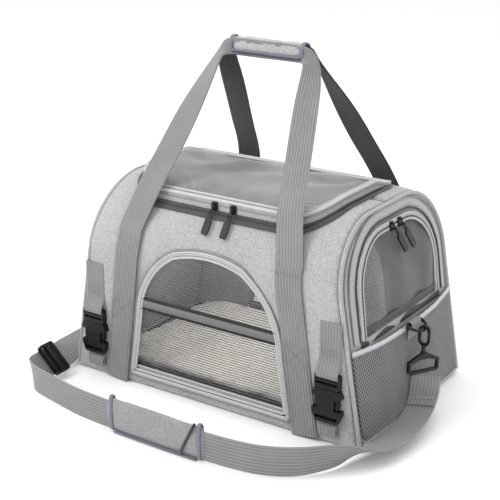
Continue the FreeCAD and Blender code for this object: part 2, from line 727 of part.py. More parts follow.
def d_ring(side):
    """D-ring of bent wire: a bow of half a turn closed by a straight bar."""
    across, up = end_point("ring_out", "ring_up")
    hang = Placement(Vector(), Rotation(Vector(0, 1, 0), -size("ring_tilt")))
    body = new_body("d_ring_" + side_name(side), turned_side(side, across, up).multiply(hang))
    add(body, "XZ_Plane", "-ring_radius", "2 * ring_radius", wire_outline("0", "0", "ring_wire"))
    bow = plane_sketch(body, "XZ_Plane", "0")
    draw(bow, wire_outline("0", "(-ring_radius)", "ring_wire"))
    turn = body.newObject("PartDesign::Revolution", body.Label + "_bow")
    turn.Profile = bow
    turn.ReferenceAxis = (bow, ["H_Axis"])
    turn.Angle = 180
    turn.Midplane = True
    doc.recompute()


def hook_place(side):
    """Middle of the top inside the hook, just over the ring's wire."""
    across, up = ring_foot()
    return turned_side(side, across, up + size("ring_wire") + 0.2)


def snap_hook(side):
    """Oblong hook with a gap for its gate and a stem that ends in the swivel's head."""
    body = new_body("snap_hook_" + side_name(side), hook_place(side))
    outer = round_outline("-(hook_slot / 2 + hook_rod)", "(hook_slot / 2 + hook_rod)",
                          "(-hook_inside - hook_rod)", "hook_rod", "(hook_slot / 2 + hook_rod - 0.1)")
    inner = cropped_outline("(-hook_slot / 2)", "(hook_slot / 2)", "(-hook_inside)", "0", "2")
    add(body, "XZ_Plane", "-hook_rod / 2", "hook_rod", outer)
    cut(body, "XZ_Plane", "-hook_rod", "(2 * hook_rod)", inner)
    gap = box_outline("1", "(hook_slot / 2 + hook_rod + 1)", "-16.5", "-6")
    cut(body, "XZ_Plane", "-hook_rod", "(2 * hook_rod)", gap)
    for radius, start, length in (("3", "-hook_inside - hook_rod - 9", "10"), ("4.6", "-hook_inside - hook_rod - 11", "2.4")):
        stem = plane_sketch(body, "XY_Plane", start)
        draw(stem, wire_outline("0", "0", radius))
        pad = body.newObject("PartDesign::Pad", body.Label + "_stem")
        pad.Profile = stem
        pad.setExpression("Length", bound(length))
        doc.recompute()


def hook_gate(side):
    """Sprung gate that closes the hook."""
    body = new_body("hook_gate_" + side_name(side), hook_place(side))
    outline = cropped_outline("(hook_slot / 2 + 0.4)", "(hook_slot / 2 + hook_rod - 0.2)", "(-16.2)", "(-6.3)", "0.8")
    add(body, "XZ_Plane", "-hook_rod / 2 + 0.4", "hook_rod - 0.8", outline)


def swivel_eye(side):
    """Swivelling eye that carries the end of the shoulder strap."""
    across, up = ring_foot()
    drop = size("ring_wire + 0.2 - hook_inside - hook_rod - 11.3")
    place = turned_side(side, across, up + drop, 90 - size("eye_turn"))
    body = new_body("swivel_eye_" + side_name(side), place)
    half = "(strap_wide / 2 + 3.5)"
    outer = [
        ("-7", "0"),
        ("-" + half, "-8"),
        ("-" + half, "-22"),
        ("-(%s - 3)" % half, "-25"),
        ("%s - 3" % half, "-25"),
        (half, "-22"),
        (half, "-8"),
        ("7", "0"),
    ]
    inner = [
        ("-6", "-6.5"),
        ("-(%s - 3.4)" % half, "-10.5"),
        ("-(%s - 3.4)" % half, "-21.4"),
        ("%s - 3.4" % half, "-21.4"),
        ("%s - 3.4" % half, "-10.5"),
        ("6", "-6.5"),
    ]
    add(body, "XZ_Plane", "-2.2", "4.4", outer)
    cut(body, "XZ_Plane", "-3", "6", inner)


# ---------------------------------------------------------------- shoulder strap

# Middle line of the strap from the right-hand eye, forward along the floor, past the front and
# back to the left-hand eye; each point with the direction that the strap's width lies in.
STRAP_ROUTE = [
    ((238, 4.6, 52), (0.6, 0.8, 0)),
    ((244, -4, 30), (0.94, 0.3, 0.2)),
    ((252, -44, 19), (1, 0.1, 0.1)),
    ((254, -92, 14), (1, 0, 0.1)),
    ((246, -142, 14), (1, 0, 0.2)),
    ((224, -188, 21.5), (0.4, 0.1, 0.9)),
    ((186, -234, 21), (0, 0, 1)),
    ((118, -256, 21), (0, 0, 1)),
    ((-100, -254, 21), (0, 0, 1)),
    ((-168, -240, 21), (0, 0, 1)),
    ((-222, -228, 21), (0, 0, 1)),
    ((-231, -198, 20), (-0.7, 0, 0.7)),
    ((-233, -152, 19), (-0.72, 0, 0.68)),
    ((-250, -104, 18), (-1, 0, 0.2)),
    ((-252, -50, 19), (-1, 0.1, 0.1)),
    ((-244, -4, 30), (-0.94, 0.3, 0.2)),
    ((-238, 4.6, 52), (-0.6, 0.8, 0)),
]
ARC_STEPS = 3


def strap_line():
    """Sample the strap's middle line: straight runs joined by tangent arcs."""
    points = [Vector(*point) for point, width in STRAP_ROUTE]
    widths = [Vector(*width).normalize() for point, width in STRAP_ROUTE]
    samples = [(points[0], widths[0])]
    radii = []
    length = 0.0
    last = points[0]
    for index in range(1, len(points) - 1):
        back = points[index - 1] - points[index]
        ahead = points[index + 1] - points[index]
        turn = math.pi - back.getAngle(ahead)
        reach = 0.45 * min(back.Length, ahead.Length)
        radius = reach / math.tan(turn / 2)
        radii.append(round(radius))
        back.normalize()
        ahead.normalize()
        first = points[index] + back * reach
        final = points[index] + ahead * reach
        centre = points[index] + (back + ahead).normalize() * (radius / math.cos(turn / 2))
        length += (first - last).Length + radius * turn
        for step in range(ARC_STEPS + 1):
            share = step / ARC_STEPS
            ray = (first - centre) * (1 - share) + (final - centre) * share
            samples.append((centre + ray.normalize() * radius, widths[index]))
        last = final
    samples.append((points[-1], widths[-1]))
    length += (points[-1] - last).Length
    return samples, radii, length


def skin(sections):
    """A solid through four-cornered sections, its twisting sides made of flat triangles. Opposite
    sides are split along the same diagonal, so that a thin strap doesn't cut through itself."""
    rings = [[vertex.Point for vertex in section.Vertexes] for section in sections]
    faces = []
    for ring, following in zip(rings, rings[1:]):
        for corner in range(4):
            after = (corner + 1) % 4
            if corner < 2:
                faces.append((ring[corner], ring[after], following[after]))
                faces.append((ring[corner], following[after], following[corner]))
            else:
                faces.append((ring[corner], ring[after], following[corner]))
                faces.append((ring[after], following[after], following[corner]))
    faces += [tuple(reversed(rings[0])), tuple(rings[-1])]
    shell = Part.makeShell([Part.Face(Part.makePolygon(list(face) + [face[0]])) for face in faces])
    shell.sewShape()
    return Part.makeSolid(shell)


def shoulder_strap():
    """Flat webbing along its middle line, a skin through flat cross sections."""
    samples, radii, length = strap_line()
    wide = size("strap_wide")
    thick = size("strap_thick")
    sections = []
    for index, (middle, width) in enumerate(samples):
        before = samples[max(index - 1, 0)][0]
        after = samples[min(index + 1, len(samples) - 1)][0]
        along = (after - before).normalize()
        if 0 < index < len(samples) - 1 and (index - 1) % (ARC_STEPS + 1) in (0, ARC_STEPS):
            neighbour = samples[index + (1 if (index - 1) % (ARC_STEPS + 1) else -1)]
            width = (width * 2 + neighbour[1]).normalize()
        across = width - along * width.dot(along)
        through = along.cross(across)
        sections.append(flat_section(tuple(middle), wide, tuple(across), thick, tuple(through)))
    strap = doc.addObject("Part::Feature", "shoulder_strap")
    strap.Label = "shoulder_strap"
    strap.Shape = skin(sections)
    strap.Placement = Placement()
    pieces.append(strap)
    expected = wide * thick * length
    print("strap length %.0f mm, radii %s, volume / section x length %.3f"
          % (length, radii, strap.Shape.Volume / expected))


def strap_pad_place():
    """Middle of the straight front run of the strap, and its direction."""
    first = Vector(*STRAP_ROUTE[8][0])
    last = Vector(*STRAP_ROUTE[7][0])
    turn = math.degrees(math.atan2(last.y - first.y, last.x - first.x))
    return (first + last) / 2, turn


def shoulder_pad():
    """Cushioned sleeve round the front run of the strap."""
    middle, turn = strap_pad_place()
    place = Placement(Vector(middle.x, middle.y, 0), Rotation(Vector(0, 0, 1), turn))
    body = new_body("shoulder_pad", place)
    add(body, "XY_Plane", "0.6", "49", round_outline("(-76)", "76", "(-8.5)", "8", "5"))
    cut(body, "YZ_Plane", "-80", "160", box_outline("-3.4", "3.4", "0", "43"))


def triglide():
    """Three-bar adjuster on the strap near its left-hand end."""
    first = Vector(*STRAP_ROUTE[11][0])
    last = Vector(*STRAP_ROUTE[12][0])
    along = (last - first).normalize()
    width = (Vector(*STRAP_ROUTE[11][1]).normalize() + Vector(*STRAP_ROUTE[12][1]).normalize()).normalize()
    across = (width - along * width.dot(along)).normalize()
    through = along.cross(across)
    middle = (first + last) / 2 + through * 6.5
    place = Placement(middle, Rotation(across, through, along, "XYZ"))
    body = new_body("triglide", place)
    half = "(strap_wide / 2 + 1)"
    add(body, "XZ_Plane", "-3.2", "6.4",
        cropped_outline("-(strap_wide / 2 + 4)", "(strap_wide / 2 + 4)", "(-13)", "13", "2.5"))
    cut(body, "XZ_Plane", "-5", "10",
        box_outline("-" + half, half, "-9.5", "-3"), box_outline("-" + half, half, "3", "9.5"))
    cut(body, "XZ_Plane", "-1.7", "3.4", box_outline("-" + half, half, "-20", "20"))


# ---------------------------------------------------------------- floor

def floor():
    """Stiff board and the removable fleece pad on it."""
    board = new_body("base_board")
    add(board, "XY_Plane", "wall", "board_thick",
        round_outline("-(body_length / 2 - 12)", "(body_length / 2 - 12)",
                      "-(body_depth / 2 - 8)", "(body_depth / 2 - 8)", "8"))
    pad = new_body("fleece_pad")
    low = "wall + board_thick + 0.3"
    add(pad, "XY_Plane", low, "pad_thick",
        round_outline("-pad_half_long", "pad_half_long", "-pad_half_deep", "pad_half_deep", "18"))


# ---------------------------------------------------------------- build

def build():
    base_panel()
    tunnel_panel("front_panel", -1)
    tunnel_panel("back_panel", 1)
    window("front_window_mesh", -1)
    window("back_window_mesh", 1)
    window_binding("front_window_binding", -1)
    window_binding("back_window_binding", 1)
    reflective_strip()
    lid()
    lid_zip()
    for side in (1, -1):
        end_panel(side)
        pocket(side)
        pocket_edge(side)
        door(side)
        door_zip(side)
        d_ring(side)
        snap_hook(side)
        hook_gate(side)
        swivel_eye(side)
        sewn_strap(side, -1)
        sewn_strap(side, 1)
        buckle_webbing(side)
        buckle_socket(side)
        buckle_plug(side)
    handle_loop("front_handle", -1)
    handle_loop("back_handle", 1)
    grip()
    floor()
    shoulder_strap()
    shoulder_pad()
    triglide()


def check_and_write():
    """Stop on any failed object, then write one file for each piece."""
    doc.recompute()
    for item in doc.Objects:
        if "Invalid" in item.State or "Error" in item.State:
            raise RuntimeError("failed: " + item.Label)
    for piece in pieces:
        shape = piece.Shape
        if shape.isNull() or not shape.isValid() or not shape.Solids:
            raise RuntimeError("bad shape: " + piece.Label)
        if len(shape.Solids) > 1:
            print("several solids in", piece.Label, len(shape.Solids))
    for piece in pieces:
        piece.Shape.exportStep("parts/%s.step" % piece.Label)
    print("pieces:", len(pieces))


build()
check_and_write()
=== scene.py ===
import math

import bpy
import numpy as np
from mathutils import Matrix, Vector, noise
from mathutils.geometry import delaunay_2d_cdt


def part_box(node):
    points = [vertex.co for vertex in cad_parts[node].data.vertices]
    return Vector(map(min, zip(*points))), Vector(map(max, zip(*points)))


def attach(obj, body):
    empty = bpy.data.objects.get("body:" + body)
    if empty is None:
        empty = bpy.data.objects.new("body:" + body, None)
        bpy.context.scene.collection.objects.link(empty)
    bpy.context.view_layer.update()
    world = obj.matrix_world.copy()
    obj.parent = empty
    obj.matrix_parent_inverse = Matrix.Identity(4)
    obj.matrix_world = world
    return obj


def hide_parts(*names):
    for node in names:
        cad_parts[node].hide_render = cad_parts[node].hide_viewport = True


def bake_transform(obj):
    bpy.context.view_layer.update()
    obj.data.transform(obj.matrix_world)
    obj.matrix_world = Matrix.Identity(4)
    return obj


bl_info = {
    "name": "Pet carrier bag",
    "version": (1, 0, 0),
    "blender": (4, 5, 0),
    "location": "View3D > Sidebar > Carrier",
    "description": "Sews the cloth, mesh, webbing and trim of a soft pet carrier on its packed frame",
    "category": "Object",
}

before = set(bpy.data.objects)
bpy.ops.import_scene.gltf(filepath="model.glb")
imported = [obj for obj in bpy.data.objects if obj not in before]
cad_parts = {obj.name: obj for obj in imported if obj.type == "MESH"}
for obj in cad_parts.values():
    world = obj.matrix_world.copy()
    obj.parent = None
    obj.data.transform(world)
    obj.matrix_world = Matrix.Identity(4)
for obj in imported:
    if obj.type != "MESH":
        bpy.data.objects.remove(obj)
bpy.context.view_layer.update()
MM = 0.001
UP = np.array([0.0, 0.0, 1.0])
SIDES = (("right", 1), ("left", -1))

# Driving places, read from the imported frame.
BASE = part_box("base_panel")
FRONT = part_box("front_panel")
HALF_LENGTH = BASE[1][0]
MIDDLE = FRONT[1][1]
HALF_DEPTH = MIDDLE - FRONT[0][1]
TOP = FRONT[1][2]

# Door, measured across and up the leaning end: half width, hinge, crown and corner radius.
DOOR_HALF = 0.104
DOOR_SILL = 0.1285
DOOR_CROWN = 0.252
DOOR_CORNER = 0.074

# Window: waist and crown as shares of its half foot, their heights, and the radii of its two arcs.
WAIST_SHARE = 0.898
CROWN_SHARE = 0.423
WAIST_UP = 0.100
CROWN_UP = 0.196
SIDE_ARC = 0.114
TOP_ARC = 0.168

# Padding of an end: how far in from the seam it is full, where it starts and over what rise.
SWELL_REACH = 0.080
SWELL_FOOT = 0.100
SWELL_RISE = 0.090

# Lid: spacing of points round it, height of its wall, and the wedge that falls to the hinge.
LID_STEP = 0.0045
LID_WALL = 0.0168
LID_WEDGE = 0.0105
WEDGE_REACH = 0.045

# Pocket: half width, height of its edge in the middle, and how much higher the edge is at the seams.
POCKET_HALF = 0.131
POCKET_EDGE = 0.1125
EDGE_RISE = 0.0085

# Half of a handle loop above its straps, as across, out from the middle plane, and up.
HANDLE_KNOTS = (
    (0.1055, 0.1125, 0.2720),
    (0.0940, 0.0790, 0.3220),
    (0.0825, 0.0450, 0.3740),
    (0.0722, 0.0150, 0.4180),
    (0.0640, 0.0062, 0.4340),
    (0.0480, 0.0045, 0.4400),
)
HANDLE_TOP = (0.0, 0.0045, 0.4405)

# Studio: the camera, what it looks at, and each lamp's place, watts and width.
CAMERA_PLACE = (0.8385, MIDDLE - 1.2861, 0.7233)
CAMERA_TARGET = (-0.0278, MIDDLE, 0.1662)
CAMERA_LENS = 88.27
INSIDE_TARGET = (0, MIDDLE + 0.02, 0)
LAMPS = (
    ("key", (-1.3, -1.7, 1.9), 34, 1.2),
    ("fill", (1.9, -1.2, 0.9), 3, 1.8),
    ("top", (0.1, 0.5, 2.2), 12, 1.6),
    ("rim", (-0.6, 1.9, 1.2), 6, 1.4),
    ("inside", (0.0, MIDDLE, 0.225), 0.35, 0.22),
)


# ---------------------------------------------------------------- sizes and colours a user may change

def length_of(name, description, millimetres):
    """A size property in metres."""
    return bpy.props.FloatProperty(name=name, description=description, default=millimetres * MM,
                                   unit="LENGTH", precision=4)


def colour_of(name, description, red, green, blue):
    """A colour property."""
    return bpy.props.FloatVectorProperty(name=name, description=description, default=(red, green, blue),
                                         subtype="COLOR", min=0, max=1)


class CarrierSizes(bpy.types.PropertyGroup):
    shoulder: length_of("Shoulder radius", "Round the front and back shoulders", 92)
    lean: length_of("End lean", "How far each end leans in over the height", 46)
    dome: length_of("End dome", "How far the padded ends swell", 8)
    puff: length_of("Panel puff", "How far the foam swells a panel between its seams", 3.2)
    cloth: length_of("Cloth thickness", "Padded cloth", 2.6)
    window_hem: length_of("Window hem", "Width of the bound edge of a window", 9)
    band_high: length_of("Window band", "Top of the plain band along the foot of a window", 27)
    strip_low: length_of("Strip foot", "Bottom of the reflective strip", 110)
    strip_high: length_of("Strip top", "Top of the reflective strip", 128)
    lid_half: length_of("Lid half width", "Middle to the side edge of the lid", 148)
    lid_front: length_of("Lid front", "Middle to the front edge of the lid", 105)
    lid_corner: length_of("Lid corner", "Corner radius of the lid", 50)
    lid_sag: length_of("Lid sag", "How far the lid mesh hangs below its rim", 7)
    webbing: length_of("Webbing width", "Handle webbing", 36)
    webbing_thick: length_of("Webbing thickness", "Handle webbing", 1.8)
    strap_wide: length_of("Strap width", "Shoulder strap", 38)
    strap_thick: length_of("Strap thickness", "Shoulder strap", 2)


class CarrierColours(bpy.types.PropertyGroup):
    cloth: colour_of("Cloth", "Heather cloth, its light yarn", 0.46, 0.46, 0.46)
    cloth_dark: colour_of("Cloth fleck", "Heather cloth, its dark yarn", 0.25, 0.25, 0.255)
    webbing: colour_of("Webbing", "Ribbed webbing", 0.25, 0.25, 0.25)
    # The back webbing is the front webbing painted darker: painted shade on the back straps and loop.
    webbing_back_shaded: colour_of("Back webbing", "Webbing of the back loop", 0.045, 0.045, 0.048)
    binding: colour_of("Binding", "Bound edges", 0.52, 0.52, 0.52)
    elastic: colour_of("Elastic", "Pocket edge", 0.53, 0.56, 0.60)
    lavender: colour_of("End binding", "Bound ends of the grip and the pad", 0.17, 0.18, 0.235)
    net: colour_of("Window net", "Threads of the window mesh", 0.12, 0.118, 0.112)
    door_net: colour_of("Door net", "Threads of the door mesh", 0.050, 0.050, 0.048)
    lid_net: colour_of("Lid net", "Threads of the lid mesh", 0.19, 0.19, 0.182)
    pocket: colour_of("Pocket net", "Cords of the pocket mesh", 0.27, 0.27, 0.27)
    fleece: colour_of("Fleece", "Floor pad", 0.85, 0.82, 0.76)
    black: colour_of("Black parts", "Moulded plastic", 0.007, 0.007, 0.0075)
    metal: colour_of("Dark metal", "Rings, hooks and sliders", 0.030, 0.030, 0.033)
    silver: colour_of("Reflector", "Stripe of the reflective strip", 0.20, 0.205, 0.205)
    zipper: colour_of("Zip", "Zip tape and coil", 0.075, 0.075, 0.077)
    floor: colour_of("Floor", "Studio floor", 0.93, 0.93, 0.93)


def sizes():
    return bpy.context.scene.carrier_sizes


def colours():
    return bpy.context.scene.carrier_colours


# ---------------------------------------------------------------- materials

class Finish:
    """One material under construction: its Principled shader and the nodes that feed it."""

    def __init__(self, name, rough, metal=0.0, sheen=0.0, coat=0.0, specular=0.35):
        self.material = bpy.data.materials.new(name)
        self.material.use_nodes = True
        self.nodes = self.material.node_tree.nodes
        self.links = self.material.node_tree.links
        self.shader = self.nodes["Principled BSDF"]
        self.shader.inputs["Roughness"].default_value = rough
        self.shader.inputs["Metallic"].default_value = metal
        self.shader.inputs["Sheen Weight"].default_value = sheen
        self.shader.inputs["Sheen Roughness"].default_value = 0.5
        self.shader.inputs["Coat Weight"].default_value = coat
        self.shader.inputs["Specular IOR Level"].default_value = specular

    def feed(self, socket, value):
        """Put a number, a colour or another node's output into a socket."""
        if isinstance(value, bpy.types.NodeSocket):
            self.links.new(value, socket)
        elif hasattr(value, "__len__") and len(value) == 3 and socket.type == "RGBA":
            socket.default_value = (*value, 1.0)
        else:
            socket.default_value = value

    def make(self, kind, output=0, settings=None, **inputs):
        """Add a node, fill its inputs by name and return one output."""
        node = self.nodes.new(kind)
        for key, value in (settings or {}).items():
            setattr(node, key, value)
        for key, value in inputs.items():
            self.feed(node.inputs[key.replace("_", " ")], value)
        return node.outputs[output]

    def maths(self, operation, first, second=0.5, clamp=False):
        node = self.nodes.new("ShaderNodeMath")
        node.operation = operation
        node.use_clamp = clamp
        self.feed(node.inputs[0], first)
        self.feed(node.inputs[1], second)
        return node.outputs[0]

    def mix(self, share, first, second):
        node = self.nodes.new("ShaderNodeMix")
        node.data_type = "RGBA"
        self.feed(node.inputs[0], share)
        self.feed(node.inputs[6], first)
        self.feed(node.inputs[7], second)
        return node.outputs[2]

    def spread(self, value, low, high, new_low=0.0, new_high=1.0):
        """Map low..high to new_low..new_high, held at both ends."""
        return self.make("ShaderNodeMapRange", Value=value, From_Min=low, From_Max=high, To_Min=new_low,
                         To_Max=new_high)

    def cloth_place(self):
        """Across and along the cloth, in metres."""
        place = self.make("ShaderNodeUVMap", settings={"uv_map": "Cloth"})
        split = self.nodes.new("ShaderNodeSeparateXYZ")
        self.links.new(place, split.inputs[0])
        return place, split.outputs[0], split.outputs[1]

    def space(self):
        return self.make("ShaderNodeTexCoord", output=3)

    def noise(self, place, scale, detail=2.0, rough=0.5):
        return self.make("ShaderNodeTexNoise", Vector=place, Scale=scale, Detail=detail, Roughness=rough)

    def ridge(self, value, pitch, shift=0.0):
        """A rounded ridge each pitch, from 0 to 1."""
        turn = self.maths("MULTIPLY_ADD", value, 2 * math.pi / pitch)
        turn.node.inputs[2].default_value = shift
        return self.maths("MULTIPLY_ADD", self.maths("SINE", turn), 0.5)

    def bump(self, height, distance, strength=1.0, under=None):
        out = self.make("ShaderNodeBump", Height=height, Distance=distance, Strength=strength)
        if under is not None:
            self.links.new(under, out.node.inputs["Normal"])
        return out

    def done(self, colour=None, normal=None, rough=None, alpha=None):
        if colour is not None:
            self.feed(self.shader.inputs["Base Color"], colour)
        for socket, value in (("Normal", normal), ("Roughness", rough), ("Alpha", alpha)):
            if value is not None:
                self.feed(self.shader.inputs[socket], value)
        return self.material


def heather_cloth(name, light, dark, mapped=True):
    """Woven polyester of mixed light and dark yarn."""
    paint = Finish(name, 0.88, sheen=0.25, specular=0.2)
    space = paint.space()
    fleck = paint.noise(space, 520, 3, 0.8)
    streak = paint.noise(paint.make("ShaderNodeMapping", Vector=space, Scale=(1, 1, 4)), 260, 2, 0.6)
    cloud = paint.noise(space, 16, 3)
    share = paint.spread(fleck, 0.36, 0.60)
    colour = paint.mix(share, dark, light)
    colour = paint.mix(paint.spread(streak, 0.40, 0.62, 0, 0.30), colour, [c * 0.62 for c in light])
    colour = paint.mix(paint.spread(cloud, 0.35, 0.70, 0, 0.16), colour, [min(c * 1.25, 1) for c in light])
    if mapped:
        across, along = paint.cloth_place()[1:]
        warp = paint.ridge(across, 1.5 * MM)
        weft = paint.ridge(along, 1.5 * MM, math.pi / 2)
        weave = paint.maths("MAXIMUM", warp, weft)
    else:
        weave = fleck
    normal = paint.bump(weave, 0.00022, 0.7)
    normal = paint.bump(paint.noise(space, 70, 3), 0.0012, 0.35, under=normal)
    return paint.done(colour, normal, paint.spread(fleck, 0.3, 0.7, 0.80, 0.95))


def ribbed_webbing(name, colour, ribs=9, width=0.036):
    """Polyester webbing: fine cross threads between lengthwise ribs."""
    paint = Finish(name, 0.72, sheen=0.2, specular=0.3)
    place, along, across = paint.cloth_place()
    rib = paint.ridge(across, width / ribs)
    thread = paint.ridge(along, 1.1 * MM)
    fuzz = paint.noise(place, 1500, 2)
    wear = paint.noise(paint.space(), 28, 4)
    shade = paint.mix(paint.spread(rib, 0.0, 0.8), [c * 0.62 for c in colour], colour)
    shade = paint.mix(paint.maths("MULTIPLY", thread, 0.22), shade, [c * 0.72 for c in colour])
    shade = paint.mix(paint.spread(wear, 0.45, 0.75, 0, 0.22), shade, [min(c * 1.3, 1) for c in colour])
    height = paint.maths("ADD", paint.maths("MULTIPLY", rib, 0.8), paint.maths("MULTIPLY", thread, 0.35))
    normal = paint.bump(height, 0.00035, 0.8)
    return paint.done(shade, normal, paint.spread(fuzz, 0.3, 0.7, 0.62, 0.82))


def tape(name, colour, pitch=1.3):
    """Fine ribbed binding tape."""
    paint = Finish(name, 0.7, sheen=0.2, specular=0.3)
    place, along, across = paint.cloth_place()
    rib = paint.ridge(along, pitch * MM)
    soil = paint.noise(paint.space(), 60, 3)
    shade = paint.mix(paint.maths("MULTIPLY", rib, 0.25), colour, [c * 0.7 for c in colour])
    shade = paint.mix(paint.spread(soil, 0.4, 0.75, 0, 0.3), shade, [c * 0.75 for c in colour])
    return paint.done(shade, paint.bump(rib, 0.0002, 0.7), paint.spread(soil, 0.3, 0.7, 0.6, 0.8))


def open_net(name, colour, rows, columns, cover, fold=0.0, sheen=0.3, rough=0.6, upright=0.92):
    """See-through mesh cloth: threads each way with open cells between them; upright is how strongly
    the threads that run up the cloth show, and fold how strong the painted highlights on it are."""
    paint = Finish(name, rough, sheen=sheen, specular=0.4)
    place, across, along = paint.cloth_place()
    row = paint.ridge(along, rows * MM)
    column = paint.ridge(across, columns * MM)
    thread = paint.maths("MAXIMUM", row, paint.maths("MULTIPLY", column, upright))
    alpha = paint.spread(thread, 1 - cover - 0.10, 1 - cover + 0.10, 0.10, 1.0)
    tone = paint.noise(paint.make("ShaderNodeMapping", Vector=paint.space(), Scale=(3, 3, 1)), 14, 3)
    # Lighter noise patches, up to fold: painted highlights on the mesh.
    shade = paint.mix(paint.spread(tone, 0.35, 0.68, 0, fold), colour,
                      [min(c * 1.9 + 0.05, 1) for c in colour])
    shade = paint.mix(paint.spread(thread, 0.5, 1.0, 0.35, 0.0), shade, [c * 0.5 for c in colour])
    return paint.done(shade, paint.bump(thread, 0.0003, 0.8), None, alpha)


def diamond_net(name, colour):
    """Stretch pocket mesh: slanting cords round near-black diamonds, which are painted shade of the pocket's
    inside.
    """
    paint = Finish(name, 0.75, sheen=0.2, specular=0.25)
    place, across, along = paint.cloth_place()
    rising = paint.ridge(paint.maths("ADD", across, paint.maths("MULTIPLY", along, 0.75)), 4.8 * MM)
    falling = paint.ridge(paint.maths("SUBTRACT", across, paint.maths("MULTIPLY", along, 0.75)), 4.8 * MM)
    cord = paint.maths("MAXIMUM", rising, falling)
    tone = paint.noise(paint.space(), 22, 3)
    # Diamonds between the cords go near black: painted shade inside the pocket.
    shade = paint.mix(paint.spread(cord, 0.66, 0.88), [c * 0.06 for c in colour], colour)
    shade = paint.mix(paint.spread(tone, 0.35, 0.7, 0, 0.35), shade, [c * 0.45 for c in colour])
    alpha = paint.spread(cord, 0.55, 0.70, 0.55, 1.0)
    return paint.done(shade, paint.bump(cord, 0.0008, 0.9), None, alpha)


def fleece_pile(name, colour):
    """Deep curly pile."""
    paint = Finish(name, 0.95, sheen=0.6, specular=0.1)
    space = paint.space()
    curl = paint.make("ShaderNodeTexVoronoi", Vector=space, Scale=210)
    tuft = paint.noise(space, 90, 5, 0.7)
    shade = paint.mix(paint.spread(tuft, 0.35, 0.65), [c * 0.80 for c in colour], colour)
    shade = paint.mix(paint.spread(curl, 0.0, 0.9, 0, 0.4), shade, [min(c * 1.12, 1) for c in colour])
    normal = paint.bump(curl, 0.0016, 0.5)
    return paint.done(shade, paint.bump(tuft, 0.004, 0.6, under=normal))


def moulded_plastic(name, colour):
    """Fine-grained acetal with worn, slightly lighter high spots."""
    paint = Finish(name, 0.45, coat=0.02, specular=0.35)
    space = paint.space()
    grain = paint.noise(space, 1800, 2)
    scuff = paint.noise(paint.make("ShaderNodeMapping", Vector=space, Scale=(1, 4, 1)), 90, 5, 0.7)
    shade = paint.mix(paint.spread(scuff, 0.52, 0.78, 0, 0.35), colour, [c * 2.2 + 0.006 for c in colour])
    return paint.done(shade, paint.bump(grain, 0.0001, 0.4), paint.spread(scuff, 0.3, 0.7, 0.34, 0.55))


def dark_plate(name, colour):
    """Dark plated metal with fine scratches; its lighter streaks are scratches and a painted highlight."""
    paint = Finish(name, 0.30, metal=0.85, specular=0.5)
    space = paint.space()
    scratch_and_highlight = paint.noise(paint.make("ShaderNodeMapping", Vector=space, Scale=(1, 1, 9)), 240, 4, 0.7)
    # Lighter streaks: scratches, with a painted highlight along them.
    shade = paint.mix(paint.spread(scratch_and_highlight, 0.48, 0.75, 0, 0.45), colour, [c * 2.4 + 0.012 for c in colour])
    return paint.done(shade, paint.bump(scratch_and_highlight, 0.00006, 0.5), paint.spread(scratch_and_highlight, 0.3, 0.7, 0.24, 0.44))


def soft_rubber(name, colour):
    """Matt rubber of the zip pulls."""
    paint = Finish(name, 0.55, specular=0.4)
    space = paint.space()
    grain = paint.noise(space, 900, 3)
    dust = paint.noise(space, 140, 4)
    shade = paint.mix(paint.spread(dust, 0.50, 0.80, 0, 0.25), colour, [c * 3 + 0.03 for c in colour])
    return paint.done(shade, paint.bump(grain, 0.0001, 0.5), paint.spread(dust, 0.3, 0.7, 0.46, 0.66))


def reflector(name, dark, bright, low, high):
    """Black tape with a bright stripe of glass beads along its middle."""
    paint = Finish(name, 0.45, specular=0.6)
    place, along, across = paint.cloth_place()
    width = high - low
    edge = paint.maths("ABSOLUTE", across)
    stripe = paint.spread(edge, 0.26 * width, 0.29 * width, 1.0, 0.0)
    bead = paint.make("ShaderNodeTexVoronoi", Vector=place, Scale=900)
    glass = paint.mix(paint.spread(bead, 0.1, 0.7), bright, [c * 0.6 for c in bright])
    shade = paint.mix(stripe, dark, glass)
    weave = paint.ridge(along, 1.2 * MM)
    height = paint.maths("ADD", paint.maths("MULTIPLY", weave, 0.4), paint.maths("MULTIPLY", bead, 0.3))
    return paint.done(shade, paint.bump(height, 0.0002, 0.6), paint.spread(stripe, 0, 1, 0.75, 0.38))


def zip_tape(name, colour):
    """Dark woven tape, or the coil, with a tooth every millimetre or so."""
    paint = Finish(name, 0.5, specular=0.4)
    place, along, across = paint.cloth_place()
    tooth = paint.ridge(along, 1.7 * MM)
    shade = paint.mix(tooth, [c * 0.35 for c in colour], [min(c * 1.5, 1) for c in colour])
    dust = paint.noise(paint.space(), 120, 3)
    shade = paint.mix(paint.spread(dust, 0.5, 0.8, 0, 0.3), shade, [c * 2 for c in colour])
    return paint.done(shade, paint.bump(tooth, 0.0006, 0.9))


def loop_tape(name, colour):
    """Black hook-and-loop pile."""
    paint = Finish(name, 0.95, sheen=0.5, specular=0.1)
    pile = paint.noise(paint.space(), 1300, 4, 0.8)
    shade = paint.mix(paint.spread(pile, 0.35, 0.65), [c * 0.6 for c in colour],
                      [c * 2.2 + 0.01 for c in colour])
    return paint.done(shade, paint.bump(pile, 0.0009, 0.9))


def floor_card(name, colour):
    """Pale studio floor."""
    paint = Finish(name, 0.9, specular=0.1)
    tone = paint.noise(paint.space(), 3, 2)
    return paint.done(paint.mix(paint.spread(tone, 0.3, 0.7, 0, 0.03), colour, [c * 0.9 for c in colour]))


FINISHES = {}


